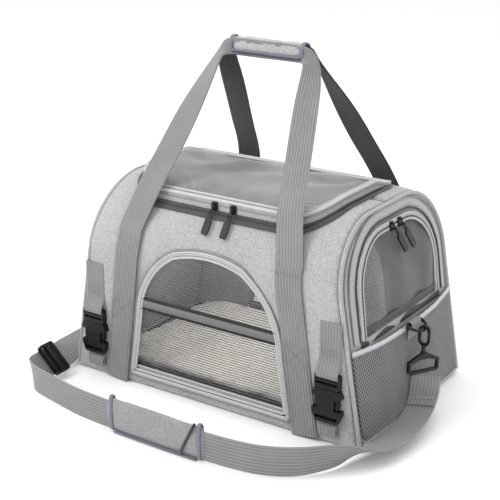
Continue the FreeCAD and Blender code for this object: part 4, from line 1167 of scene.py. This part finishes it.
class CARRIER_OT_windows(bpy.types.Operator):
    """Fit the mesh windows with their bound hems, foot bands and the reflective strip"""
    bl_idname = "carrier.windows"
    bl_label = "Windows"

    def execute(self, context):
        s = sizes()
        for name, front in (("front", -1), ("back", 1)):
            rim = on_wall(window_outline(0.001))

            def place(across, up, gap, front=front):
                flat = np.stack([across, up, np.zeros_like(up)], axis=1)
                return tunnel(front, across, up,
                              -0.0022 + rumple(flat, 13, 0.0018, 11) * np.clip(gap / 0.02, 0, 1))
            net = cut_cloth(name + "_window_net", rim, place, step=0.007)
            finish_piece(net, "net", "window_mesh", "carrier", name + "_window_mesh")
            stretched(net, rim, name + "_window_binding")
            hem = on_wall(window_outline(0.0))
            line = even(hem, 0.004, closed=True)
            outs = tunnel_out(front, line[:, 1])
            for part, inset, section, finish in (
                    ("binding", 0.0, flat_tape(s.window_hem * 0.62, 0.0022, 0.0012), "binding"),
                    ("inner_binding", 0.0052, flat_tape(0.0036, 0.0020, 0.0006), "binding"),
                    ("cord", -0.0040, round_bar(0.0009, 8, 0, 0.0012), "thread")):
                ring = even(on_wall(window_outline(inset)), 0.004, closed=True)
                band = sweep("%s_window_%s" % (name, part), tunnel(front, ring[:, 0], ring[:, 1], 0.0008),
                             tunnel_out(front, ring[:, 1]), section, closed=True)
                replaced = [name + "_window_binding"] if part == "binding" else []
                finish_piece(band, finish, "binding", "carrier", *replaced)
            stitches(name + "_window_seam", tunnel(front, line[:, 0], line[:, 1], 0.0032), outs, "carrier",
                     "binding")
            self.foot_band(name, front)
        self.strip()
        return {"FINISHED"}

    def foot_band(self, name, front):
        """Plain band of cloth along the foot of the window."""
        s = sizes()
        outline = window_outline(0.002)
        low = outline[:, 1].min()
        half = outline[:, 0].max() - 0.0015
        narrow = half - 0.0022
        band = np.array([(-half, low), (half, low), (narrow, s.band_high), (-narrow, s.band_high)])

        def place(across, up, gap):
            flat = np.stack([across, up, np.zeros_like(up)], axis=1)
            return tunnel(front, across, up,
                          -0.0012 + 0.0012 * (1 - np.exp(-gap / 0.004)) + rumple(flat, 40, 0.0006))
        cloth = cut_cloth(name + "_foot_band", band, place, step=0.006)
        thicken(cloth, 0.0012)
        finish_piece(cloth, "cloth", "body_cloth", "carrier")
        top = np.linspace(-narrow, narrow, 60)
        outs = tunnel_out(front, np.full(60, s.band_high))
        trim(name + "_foot_band_edge", tunnel(front, top, s.band_high, 0.0), outs, flat_tape(0.0022, 0.0012),
             "binding", "binding", "carrier")

    def strip(self):
        """Reflective strip across the front window."""
        low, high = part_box("reflective_strip")
        middle = (low[2] + high[2]) / 2
        across = np.linspace(low[0] - 0.004, high[0] + 0.004, 70)
        bow = 0.0008 * np.cos(across * 9)
        line = tunnel(-1, across, middle, 0.0006) + bow[:, None] * np.array([0, -1, 0.5])
        trim("reflective_tape", line, (0, -1, 0), flat_tape(high[2] - low[2], 0.0013), "reflector",
             "reflective", "carrier", "reflective_strip")
        for part, shift in (("upper", 0.43), ("lower", -0.43)):
            seam = line + UP * (high[2] - low[2]) * shift + np.array([0, -0.0012, 0])
            stitches("reflective_seam_" + part, seam, (0, -1, 0), "carrier", "reflective", finish="loop")


# ---------------------------------------------------------------- ends

class CARRIER_OT_ends(bpy.types.Operator):
    """Sew the padded ends with their piping and zip tape"""
    bl_idname = "carrier.ends"
    bl_label = "Ends"

    def execute(self, context):
        s = sizes()
        for name, side in SIDES:
            seam = end_seam()
            outer = np.vstack([seam, [(-HALF_DEPTH + 0.0025, 0.004)]])[:-1]
            opening = door_arch(0.0005)

            def place(across, up, gap, side=side):
                flat = np.stack([across, up, np.zeros_like(up)], axis=1)
                edge = gap_to(flat[:, :2], seam, closed=False)
                puff = 0.0022 * (1 - np.exp(-edge / 0.008)) + rumple(flat, 22, 0.0012, 5 * side)
                return on_end(side, across, up, 0.001 + puff + end_swell(across, up))
            cloth = cut_cloth("end_cloth_" + name, outer, place, [opening], step=0.006)
            face_away(cloth)
            thicken(cloth, s.cloth)
            finish_piece(cloth, "cloth", "body_cloth", "carrier", "end_panel_" + name)
            out = end_out(side)
            pipe = end_line(side, seam, 0.0015)
            trim("end_piping_" + name, pipe, out, round_bar(0.0027, 10, 0, 0.0004), "plain_cloth",
                 "body_cloth", "carrier")
            tape_in = arch(HALF_DEPTH - 0.009, 0.006, seam[:, 1].max() - 0.0065, s.shoulder - 0.009)
            trim("end_seam_cord_" + name, end_line(side, tape_in, 0.0034), out, round_bar(0.0008, 6),
                 "thread", "binding", "carrier")
            for part, inset, section, finish in (
                    ("tape", -0.0105, flat_tape(0.013, 0.0018), "plain_cloth"),
                    ("coil", -0.0045, round_bar(0.0013, 8, 0, 0.0016), "zip"),
                    ("shadow_line", -0.0176, round_bar(0.0008, 6, 0, 0.001), "thread")):
                ring = door_arch(inset)
                trim("end_zip_%s_%s" % (part, name), end_line(side, ring, 0.0036), out, section, finish,
                     "binding", "carrier")
            sill = np.array([(u, 0.1235) for u in np.linspace(-0.106, 0.106, 60)])
            sill = on_end(side, sill[:, 0], sill[:, 1], 0.0026 + end_swell(sill[:, 0], sill[:, 1]))
            trim("end_sill_" + name, sill, out, flat_tape(0.0105, 0.0016), "zip", "binding", "carrier")
            foot = [on_end(side, u, 0.006,
                           0.004) for u in np.linspace(-HALF_DEPTH + 0.006, HALF_DEPTH - 0.006, 40)]
            trim("end_foot_seam_" + name, np.array(foot), out, round_bar(0.0012, 8, 0, 0.0006),
                 "plain_cloth", "body_cloth", "carrier")
        return {"FINISHED"}

class CARRIER_OT_doors(bpy.types.Operator):
    """Hang the mesh doors with their bound frames"""
    bl_idname = "carrier.doors"
    bl_label = "Doors"

    def execute(self, context):
        for name, side in SIDES:
            body = "door_" + name
            out = end_out(side)
            rim = door_arch(0.0085)

            def place(across, up, gap, side=side):
                flat = np.stack([across, up, np.zeros_like(up)], axis=1)
                hang = np.sin(across * 85 + 1.3 + 9 * (up - 0.19)) * np.clip((0.235 - up) / 0.05, 0, 1)
                fold = 0.0016 * hang * np.clip(gap / 0.012, 0, 1)
                fold = fold + rumple(flat * (1, 0.35, 1), 34, 0.0016, 8 * side)
                inward = np.clip((up - 0.195) / 0.03, 0, 1) * 0.003
                return on_end(side, across, up, 0.0030 - inward + fold + end_swell(across, up) * 0.95)
            net = cut_cloth("door_net_" + name, rim, place, step=0.005)
            finish_piece(net, "door_net", "window_mesh", body, "door_mesh_" + name)
            stretched(net, rim, "door_frame_" + name)
            replaced = ["door_frame_" + name]
            for part, inset, section, finish in (
                    ("band", 0.0030, flat_tape(0.0062, 0.0032, 0.0006), "binding"),
                    ("line", 0.0066, round_bar(0.0008, 6, 0, 0.0014), "zip"),
                    ("inner", 0.0088, flat_tape(0.0040, 0.0024, 0.0004), "binding")):
                ring = end_line(side, door_arch(inset), 0.0036, step=0.0035)
                trim("door_%s_%s" % (part, name), ring, out, section, finish, "binding", body, *replaced)
                replaced = []
            seam = end_line(side, door_arch(0.0030), 0.0062, step=0.0035)
            stitches("door_seam_" + name, seam, out, body, "binding")
            foot = np.array([(u, 0.1370) for u in np.linspace(-0.098, 0.098, 50)])
            hinge = on_end(side, foot[:, 0], foot[:, 1], 0.0036 + end_swell(foot[:, 0], foot[:, 1]))
            trim("door_hinge_tape_" + name, hinge, out, flat_tape(0.008, 0.0018), "zip", "binding", body)
        return {"FINISHED"}


class CARRIER_OT_pockets(bpy.types.Operator):
    """Sew the stretch mesh pockets with their elastic edges and ring tabs"""
    bl_idname = "carrier.pockets"
    bl_label = "Pockets"

    def edge_height(self, across):
        """The elastic dips in the middle, where the ring pulls it, and rises to the seams."""
        share = np.abs(np.asarray(across, float)) / POCKET_HALF
        return POCKET_EDGE + EDGE_RISE * share ** 2

    def out_of(self, across, up):
        """How far the pocket stands out of the end."""
        share = np.clip(1 - np.abs(across) / POCKET_HALF, 0, 1)
        rise = np.clip(np.asarray(up) / 0.05, 0, 1)
        return 0.0052 + 0.0062 * np.clip(share / 0.45, 0, 1) ** 0.7 * (0.4 + 0.6 * rise)

    def execute(self, context):
        for name, side in SIDES:
            half = POCKET_HALF
            top = np.linspace(-half, half, 60)
            rim = np.vstack([[(half - 0.006, 0.010), (half, 0.020)],
                             np.stack([top[::-1], self.edge_height(top[::-1])], axis=1),
                             [(-half, 0.020), (0.006 - half, 0.010)]])[::-1]

            def place(across, up, gap, side=side):
                flat = np.stack([across, up, np.zeros_like(up)], axis=1)
                wave = rumple(flat, 26, 0.0016, 13) * np.clip(gap / 0.012, 0, 1)
                return on_end(side, across, up, self.out_of(across, up) + wave)
            net = cut_cloth("pocket_net_" + name, rim, place, step=0.005)
            thicken(net, 0.0010)
            finish_piece(net, "pocket", "pocket_mesh", "carrier", "pocket_" + name)
            stretched(net, rim, "pocket_edge_" + name)
            # A sheet in the black loop finish behind the net: painted shade inside the pocket, seen through
            # the open diamonds.
            back = np.stack([rim[:, 0] * 0.985, rim[:, 1] * 0.985 + 0.001], axis=1)

            def behind(across, up, gap, side=side):
                return on_end(side, across, up, np.minimum(self.out_of(across, up) - 0.0018, 0.0052))
            shade_sheet = cut_cloth("pocket_shade_sheet_" + name, back, behind, step=0.012)
            finish_piece(shade_sheet, "loop", "pocket_mesh", "carrier")
            line = on_end(side, top, self.edge_height(top),
                          self.out_of(top, self.edge_height(top)) + 0.0004)
            gather = 1 + 0.10 * np.sin(np.arange(60) * 1.9)
            trim("pocket_elastic_" + name, line, end_out(side), flat_tape(0.0068, 0.0024), "elastic",
                 "binding", "carrier", "pocket_edge_" + name, scale=np.stack([gather, gather], axis=1))
            stitches("pocket_seam_" + name, line + end_out(side) * 0.0022 - UP * 0.002, end_out(side),
                     "carrier", "binding")
            self.tab(name, side)
        return {"FINISHED"}

    def tab(self, name, side):
        """Folded webbing that holds the ring, sewn to the pocket's edge."""
        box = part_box("pocket_edge_" + name)
        bar = np.array([side * (box[1][0] if side > 0 else -box[0][0]), MIDDLE, box[1][2]])
        bar = bar - np.array([side * 0.0042, 0, 0.0042])
        tilt = math.atan(sizes().lean / TOP)
        up = np.array([-side * math.sin(tilt), 0, math.cos(tilt)])
        out = end_out(side)
        turns = ((-7.2, -20), (-6.4, -8), (-4.0, 1.6), (-1.2, 3.8), (2.6, 3.0), (4.0, 0), (2.4, -3.4),
                 (-1.6, -7.2), (-4.8, -20))
        knots = [bar + out * (outward * MM) + up * (rise * MM) for outward, rise in turns]
        line = smooth_line(knots, 0.0012)
        facing = unit(np.cross(np.array([0.0, 1.0, 0.0]) * side, np.gradient(line, axis=0)))
        trim("ring_tab_" + name, line, facing, ribbed(0.025, 0.0014, 6), "webbing", "binding", "carrier")
        across = np.array([0.0, 1.0, 0.0])
        for number, drop in enumerate((0.010, 0.017)):
            places = np.linspace(-0.011, 0.011, 8)
            seam = np.array([bar - out * 0.0040 - up * drop + across * t for t in places])
            stitches("ring_tab_seam_%s_%d" % (name, number), seam, out, "carrier", "binding",
                     finish="binding")


# ---------------------------------------------------------------- lid

def lid_foot(out):
    """Lower edge of the lid's band: just above the cloth of the shoulder."""
    return tunnel(-1, 0, reach_of_depth(out), 0.0012)[..., 2]


def lid_top(out):
    """Upper edge of the lid's band, falling to the hinge."""
    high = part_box("lid_band")[1]
    full = high[2] - 0.0006
    front = tunnel(-1, 0, reach_of_depth(out), 0.0)[..., 2] + LID_WALL
    near = np.clip((np.asarray(out, float) + (high[1] - MIDDLE)) / WEDGE_REACH, 0, 1)
    return np.minimum(front, full) - LID_WEDGE * (1 - near * near * (3 - 2 * near))


class CARRIER_OT_lid(bpy.types.Operator):
    """Build the lid: its cloth band, bound rim, zip and soft mesh"""
    bl_idname = "carrier.lid"
    bl_label = "Lid"

    def ring(self, inset, share, rise=0.0):
        """Line round the lid at a share of the band's height, and the way out of it."""
        plan = even(lid_plan(inset), LID_STEP)
        low, top = lid_foot(plan[:, 1]), lid_top(plan[:, 1])
        line = np.stack([plan[:, 0], MIDDLE - plan[:, 1], low + (top - low) * share + rise], axis=1)
        ahead = unit(np.gradient(plan, axis=0))
        return line, np.stack([-ahead[:, 1], -ahead[:, 0], np.zeros(len(plan))], axis=1)

    def execute(self, context):
        s = sizes()
        shares = np.linspace(0.0, 1.0, 9)
        plan = even(lid_plan(0.0006), LID_STEP)
        reach = np.concatenate([[0], np.cumsum(np.linalg.norm(np.diff(plan, axis=0), axis=1))])
        points, spots = [], []
        for share in shares:
            line, outs = self.ring(0.0006, share)
            bulge = 0.0012 * math.sin(math.pi * share) - 0.0012 * share
            wall = line + outs * bulge
            points.append(wall + outs * rumple(wall, 45, 0.0006)[:, None])
            spots.append(np.stack([reach, line[:, 2]], axis=1))
        points, spots = np.vstack(points), np.vstack(spots)
        across = len(plan)
        faces = [(i * across + k, i * across + k + 1, (i + 1) * across + k + 1, (i + 1) * across + k)
                 for i in range(len(shares) - 1) for k in range(across - 1)]
        band = add_mesh("lid_band_cloth", points, faces, spots)
        thicken(band, 0.0030)
        finish_piece(band, "cloth", "body_cloth", "lid", "lid_band")
        for part, inset, share, rise, section, finish in (
                ("binding", 0.0022, 1.0, -0.0006, round_bar(0.0024, 10), "binding"),
                ("inner_binding", 0.0072, 1.0, -0.0012, round_bar(0.0019, 8), "binding"),
                ("rim_cord", -0.0004, 1.0, -0.0036, round_bar(0.0007, 6), "thread"),
                ("zip_coil", -0.0012, 0.10, 0.0, round_bar(0.0014, 8), "zip"),
                ("zip_line", -0.0010, 0.30, 0.0, round_bar(0.0008, 6), "zip")):
            line, way = self.ring(inset, share, rise)
            trim("lid_" + part, line, way, section, finish, "binding", "lid")
        self.zip_tape()
        hinge_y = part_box("lid_band")[1][1]
        hinge = np.array([(x, hinge_y - 0.0065, float(lid_top(-(hinge_y - MIDDLE))) + 0.0005)
                          for x in np.linspace(-s.lid_half, s.lid_half, 60)])
        trim("lid_hinge_binding", hinge, UP, flat_tape(0.010, 0.003), "binding", "binding", "lid")
        flap_line = np.array([(x, hinge_y + 0.0005,
                               0.2724) for x in np.linspace(0.001 - s.lid_half, s.lid_half - 0.001, 60)])
        bend = ("carrier", "lid", (0, hinge_y + 0.004, 0.2718), (0, hinge_y - 0.005, 0.2718))
        trim("lid_hinge_flap", flap_line, (0, 0.39, 0.92), flat_tape(0.0185, 0.0012), "plain_cloth",
             "body_cloth", bend)
        self.net()
        return {"FINISHED"}

    def zip_tape(self):
        """The half of the zip that stays on the body, along the edge of the opening."""
        plan = even(lid_plan(-0.0040), LID_STEP)
        keep = plan[:, 1] > -0.054
        plan = plan[keep]
        up = reach_of_depth(np.maximum(plan[:, 1], 0.0))
        front = tunnel(-1, plan[:, 0], up, 0.0036)
        back = tunnel(1, plan[:, 0], reach_of_depth(np.maximum(-plan[:, 1], 0.0)), 0.0036)
        path = np.where(plan[:, 1:2] >= 0, front, back)
        facing = np.where(plan[:, 1:2] >= 0, tunnel_out(-1, up), tunnel_out(1, up))
        trim("opening_zip_tape", path, facing, flat_tape(0.0075, 0.0016), "zip", "binding", "carrier")

    def net(self):
        """Soft mesh that sags inside the rim."""
        s = sizes()
        rim = lid_plan(0.0045)

        def place(across, out, gap):
            flat = np.stack([across, out, np.zeros_like(out)], axis=1)
            level = lid_top(out) - 0.0012
            share = np.clip(gap / 0.055, 0, 1)
            dip = s.lid_sag * share * share * (3 - 2 * share)
            wave = np.sin(across * 62 + out * 26 + 2.5 * np.sin(out * 30))
            folds = 0.0022 * wave * np.clip(gap / 0.03, 0, 1)
            level = np.minimum(level, lid_top(np.maximum(out, -0.02)))
            return np.stack([across, MIDDLE - out, level - dip + folds + rumple(flat, 24, 0.0030, 4)
                             * np.clip(gap / 0.02, 0, 1)], axis=1)
        net = cut_cloth("lid_net", rim, place, step=0.006)
        finish_piece(net, "lid_net", "window_mesh", "lid", "lid_mesh")
        stretched(net, rim, "lid_band")


# ---------------------------------------------------------------- webbing and handles

class CARRIER_OT_sewn_straps(bpy.types.Operator):
    """Sew the four handle straps to the front and back"""
    bl_idname = "carrier.sewn_straps"
    bl_label = "Sewn straps"

    def execute(self, context):
        s = sizes()
        for face, front in (("front", -1), ("back", 1)):
            for name, side in SIDES:
                low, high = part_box("%s_strap_%s" % (face, name))
                foot = max(abs(low[0]), abs(high[0])) - s.webbing / 2
                head = min(abs(low[0]), abs(high[0])) + s.webbing / 2
                up = np.linspace(0.002, reach_of_height(high[2]), 80)
                height = tunnel(front, 0, up)[:, 2]
                across = np.interp(height, [low[2], high[2]], [foot, head])
                stand = 0.0046 + 0.0012 * np.clip((height - 0.100) / 0.100, 0, 1) ** 2
                line = tunnel(front, side * across, up, stand)
                web = sweep("%s_webbing_%s" % (face, name), line, tunnel_out(front, up),
                            ribbed(s.webbing, s.webbing_thick))
                # Back straps take the darker webbing: painted shade.
                finish = "webbing" if front < 0 else "back_webbing"
                finish_piece(web, finish, "webbing", "carrier", "%s_strap_%s" % (face, name))
                self.cross_stitch(face + "_" + name, front, side, foot, head, low[2], high[2])
        return {"FINISHED"}

    def cross_stitch(self, name, front, side, foot, head, low, high):
        """The sewn cross where the strap leaves the panel, and the seams along its edges."""
        half = sizes().webbing / 2 - 0.003

        def at(shift, height):
            across = np.interp(height, [low, high], [foot, head]) + shift
            return tunnel(front, side * across, reach_of_height(height), 0.0059)
        marks = (("cross_a", (-half, 0.092), (half, 0.120)), ("cross_b", (half, 0.092), (-half, 0.120)),
                 ("top", (-half, 0.120), (half, 0.120)), ("foot", (-half, 0.092), (half, 0.092)),
                 ("edge_a", (-half, 0.010), (-half, 0.120)), ("edge_b", (half, 0.010), (half, 0.120)))
        for mark, start, end in marks:
            line = np.array([at(start[0] + (end[0] - start[0]) * t, start[1] + (end[1] - start[1]) * t)
                             for t in np.linspace(0, 1, 24)])
            stitches("strap_%s_%s" % (name, mark), line, (0, front, 0), "carrier", "webbing")


class CARRIER_OT_handles(bpy.types.Operator):
    """Bend the two carrying loops up from the straps to the grip"""
    bl_idname = "carrier.handles"
    bl_label = "Handles"

    def execute(self, context):
        s = sizes()
        for face, front in (("front", -1), ("back", 1)):
            node = face + "_handle"
            low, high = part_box(node)
            root_x = high[0] - s.webbing / 2
            root = [tunnel(front, root_x, reach_of_height(low[2] - drop), lift)
                    for drop, lift in ((0.008, 0.0058), (0.0, 0.0068), (-0.006, 0.0072))]
            half = root + [np.array([x, MIDDLE + front * out, z]) for x, out, z in HANDLE_KNOTS]
            top = np.array(HANDLE_TOP) * (1, front, 1) + (0, MIDDLE, 0)
            whole = half + [top] + [p * (-1, 1, 1) for p in half[::-1]]
            line = smooth_line(whole, 0.004)
            rise = np.clip((line[:, 2] - 0.30) / 0.13, 0, 1)
            low_turn = tunnel_out(front, reach_of_height(low[2]))
            upper = np.stack([np.sign(line[:, 0]) * 0.8 * rise ** 3, np.full(len(line), front * 0.96),
                              np.full(len(line), 0.42)], axis=1)
            blend = np.clip((line[:, 2] - low[2]) / 0.05, 0, 1)[:, None]
            outs = low_turn * (1 - blend) + upper * blend
            bar = np.clip((0.066 - np.abs(line[:, 0])) / 0.012, 0, 1)[:, None]
            outs = unit(outs) * (1 - bar) + np.array([0, front, 0.0]) * bar
            narrow = 1 - 0.42 * rise ** 3
            thick = 1 + 1.2 * rise ** 3
            web = sweep(node + "_webbing", line, outs, ribbed(s.webbing, s.webbing_thick),
                        scale=np.stack([narrow, thick], axis=1))
            bend = ("carrier", face + "_loop", tuple(root[0]), (root_x, root[2][1], low[2] + 0.020))
            # The back loop takes the darker webbing: painted shade.
            finish_piece(web, "webbing" if front < 0 else "back_webbing", "webbing", bend, node)
        return {"FINISHED"}


class CARRIER_OT_grip(bpy.types.Operator):
    """Wrap the padded grip round both loops"""
    bl_idname = "carrier.grip"
    bl_label = "Grip"

    def execute(self, context):
        low, high = (np.array(v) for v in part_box("grip_wrap"))
        centre = (low + high) / 2
        half = (high[0] - low[0]) / 2 - 0.0015
        wide, tall = (high[1] - low[1]) / 2 - 0.0032, (high[2] - low[2]) / 2 - 0.0030
        along = np.linspace(-half, half, 34)
        turns = np.linspace(0, 2 * math.pi, 40, endpoint=False)
        section = np.stack([wide * np.sign(np.cos(turns)) * np.abs(np.cos(turns)) ** 0.9,
                            tall * np.sin(turns)], axis=1)
        line = np.stack([centre[0] + along, np.full(34, centre[1]), np.full(34, centre[2])], axis=1)
        end = np.clip((half - np.abs(along)) / 0.014, 0, 1)
        sleeve = sweep("grip_cloth", line, UP, section,
                       scale=np.stack([0.90 + 0.10 * end ** 0.6] * 2, axis=1))
        swell(sleeve, 3.0, 0.003)
        points = np.array([tuple(v.co) for v in sleeve.data.vertices])
        move = rumple(points, 70, 0.0014, 2) + rumple(points * (1, 1, 1.6), 180, 0.0004, 8)
        for vertex, shift in zip(sleeve.data.vertices, move):
            vertex.co += vertex.normal * float(shift)
        finish_piece(sleeve, "plain_cloth", "padded_cloth", "back_loop", "grip_wrap")
        for name, way in SIDES:
            rim = np.stack([section[:, 0] * 0.97, section[:, 1] * 0.97], axis=1)
            loop = centre + np.array([way * (half - 0.0015), 0, 0]) + np.stack(
                [np.zeros(40), rim[:, 0], rim[:, 1]], axis=1)
            outwards = unit(np.stack([np.zeros(40), rim[:, 0], rim[:, 1]], axis=1))
            band = sweep("grip_binding_" + name, loop, outwards, flat_tape(0.006, 0.0018), closed=True)
            finish_piece(band, "lavender", "binding", "back_loop")
        lap = self.lap(centre, half, wide, tall)
        for piece, finish in lap:
            finish_piece(piece, finish, "padded_cloth", "back_loop")
        return {"FINISHED"}

    def lap(self, centre, half, wide, tall):
        """The free edge of the wrap with its bound lip and the hook-and-loop strip under it."""
        along = np.linspace(-half + 0.003, half - 0.003, 40)
        pieces = []
        for name, turn, section, finish, out in (
                ("lap_edge", -2.55, flat_tape(0.0065, 0.0020), "lavender", 1.04),
                ("lap_strip", -2.05, flat_tape(0.014, 0.0012), "loop", 1.01)):
            wave = 0.03 * np.sin(along * 70)
            y = centre[1] + wide * out * np.cos(turn + wave)
            z = centre[2] + tall * out * np.sin(turn + wave)
            line = np.stack([centre[0] + along, y, z], axis=1)
            outs = np.stack([np.zeros(40), np.cos(turn + wave), np.sin(turn + wave)], axis=1)
            pieces.append((sweep("grip_" + name, line, outs, section), finish))
        return pieces


# ---------------------------------------------------------------- hardware

class CARRIER_OT_buckles(bpy.types.Operator):
    """Thread the front buckles with their webbing"""
    bl_idname = "carrier.buckles"
    bl_label = "Buckles"

    def execute(self, context):
        for name, _ in SIDES:
            soften("buckle_socket_" + name, "plastic", 0.0007, 3)
            soften("buckle_plug_" + name, "plastic", 0.0006, 3)
            low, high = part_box("buckle_webbing_" + name)
            wide = high[0] - low[0]
            middle = (low[0] + high[0]) / 2
            plug_low, plug_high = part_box("buckle_plug_" + name)
            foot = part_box("buckle_socket_" + name)[0][2]
            face = low[1] - 0.0008
            bar_y = (plug_low[1] + plug_high[1]) / 2

            def web(label, knots, share=1.0):
                line = smooth_line([np.array([middle, y, z]) for y, z in knots], 0.002)
                ahead = np.gradient(line, axis=0)
                outs = np.cross(np.array([1.0, 0, 0]), unit(ahead))
                outs = outs * (np.sign(-outs[:, 1].mean()) or 1)
                return sweep("buckle_%s_%s" % (label, name), line, outs, ribbed(wide * share, 0.0015, 8))
            top = plug_high[2]
            upper = web("upper_webbing", [(face, high[2]), (face, high[2] - 0.03),
                                          (face - 0.0005, top + 0.016), (bar_y - 0.0030, top + 0.0035),
                                          (bar_y - 0.0042, top - 0.0035), (bar_y - 0.0012, top - 0.0068)])
            bend = ("carrier", "plug_" + name, (middle, face, 0.150), (middle, face, top + 0.004))
            finish_piece(upper, "webbing", "webbing", bend, "buckle_webbing_" + name)
            lower = web("lower_webbing", [(face, foot + 0.010), (face - 0.0020, foot - 0.0005),
                                          (face - 0.0045, foot - 0.0060), (face - 0.0038, foot - 0.0120),
                                          (face - 0.0008, foot - 0.0165), (face + 0.0001, low[2])], 0.94)
            finish_piece(lower, "webbing", "webbing", "carrier")
            tail = web("tail", [(face - 0.0046, foot - 0.0050), (face - 0.0062, foot - 0.0110),
                                (face - 0.0052, foot - 0.0170), (face - 0.0042, foot - 0.0195)], 0.84)
            finish_piece(tail, "webbing", "webbing", "carrier")
            for number, height in enumerate((0.118, 0.124)):
                seam = np.array([(middle + t, face - 0.0010,
                                  height) for t in np.linspace(-0.012, 0.012, 9)])
                stitches("buckle_seam_%s_%d" % (name, number), seam, (0, -1, 0), "carrier", "webbing")
        return {"FINISHED"}


class CARRIER_OT_hardware(bpy.types.Operator):
    """Cast the rings, snap hooks, swivel eyes, sliders and door pulls in dark metal, and the lid pulls in
    rubber
    """
    bl_idname = "carrier.hardware"
    bl_label = "Hardware"

    def execute(self, context):
        for name, _ in SIDES:
            for node, finish, width, steps in (
                    ("d_ring_", "metal", 0.0004, 2), ("snap_hook_", "metal", 0.0006, 3),
                    ("hook_gate_", "metal", 0.0003, 2), ("swivel_eye_", "metal", 0.0008, 3),
                    ("lid_slider_", "metal", 0.0006, 3), ("lid_pull_", "rubber", 0.0005, 3)):
                soften(node + name, finish, width, steps)
            for number in (1, 2):
                soften("door_slider_%s_%d" % (name, number), "metal", 0.0006, 3)
                soften("door_pull_%s_%d" % (name, number), "metal", 0.0005, 3)
        return {"FINISHED"}


class CARRIER_OT_fleece(bpy.types.Operator):
    """Puff up the fleece floor pad"""
    bl_idname = "carrier.fleece"
    bl_label = "Fleece pad"

    def execute(self, context):
        low, high = (np.array(v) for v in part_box("fleece_pad"))
        centre = (low + high) / 2
        half = (high - low) / 2
        count = 22
        line = np.stack([np.linspace(low[0] + 0.008, high[0] - 0.008, count), np.full(count, centre[1]),
                         np.full(count, centre[2])], axis=1)
        turns = np.linspace(0, 2 * math.pi, 44, endpoint=False)
        section = np.stack([(half[1] - 0.006) * np.sign(np.cos(turns)) * np.abs(np.cos(turns)) ** 0.45,
                            half[2] * 0.66 * np.sign(np.sin(turns)) * np.abs(np.sin(turns)) ** 0.8], axis=1)
        share = np.abs(np.linspace(-1, 1, count))
        scale = np.stack([1 - 0.10 * share ** 8, 1 - 0.55 * share ** 6], axis=1)
        pad = sweep("fleece_cushion", line, UP, section, scale=scale)
        swell(pad, 3.5, 0.006, 0.006)
        points = np.array([tuple(v.co) for v in pad.data.vertices])
        move = rumple(points, 28, 0.0034,
                      6) + rumple(points, 90, 0.0016, 1) + rumple(points, 260, 0.0008, 3)
        for vertex, shift in zip(pad.data.vertices, move):
            vertex.co += vertex.normal * float(shift)
            vertex.co.z = max(vertex.co.z, low[2])
        finish_piece(pad, "fleece", "fleece", "fleece", "fleece_pad")
        return {"FINISHED"}


# ---------------------------------------------------------------- sidebar panel

STAGE_FIRST = (CARRIER_OT_stage, CARRIER_OT_shoulder_strap)
PIECES = (CARRIER_OT_body_cloth, CARRIER_OT_windows, CARRIER_OT_ends, CARRIER_OT_doors, CARRIER_OT_pockets,
          CARRIER_OT_lid, CARRIER_OT_sewn_straps, CARRIER_OT_handles, CARRIER_OT_grip, CARRIER_OT_buckles,
          CARRIER_OT_hardware, CARRIER_OT_fleece)


class CARRIER_PT_panel(bpy.types.Panel):
    """Lists the carrier's sizes, colours and making steps"""
    bl_label = "Pet carrier"
    bl_idname = "CARRIER_PT_panel"
    bl_space_type = "VIEW_3D"
    bl_region_type = "UI"
    bl_category = "Carrier"

    def draw(self, context):
        for group in (context.scene.carrier_sizes, context.scene.carrier_colours):
            box = self.layout.box()
            for field in group.__annotations__:
                box.prop(group, field)
        for operator in STAGE_FIRST + PIECES:
            self.layout.operator(operator.bl_idname)


CLASSES = (CarrierSizes, CarrierColours) + STAGE_FIRST + PIECES + (CARRIER_PT_panel,)


def register():
    for made in CLASSES:
        bpy.utils.register_class(made)
    bpy.types.Scene.carrier_sizes = bpy.props.PointerProperty(type=CarrierSizes)
    bpy.types.Scene.carrier_colours = bpy.props.PointerProperty(type=CarrierColours)


def unregister():
    del bpy.types.Scene.carrier_colours
    del bpy.types.Scene.carrier_sizes
    for made in reversed(CLASSES):
        bpy.utils.unregister_class(made)


def main():
    register()
    for operator in STAGE_FIRST + PIECES:
        family, name = operator.bl_idname.split(".")
        getattr(getattr(bpy.ops, family), name)()


if __name__ == "__main__":
    main()
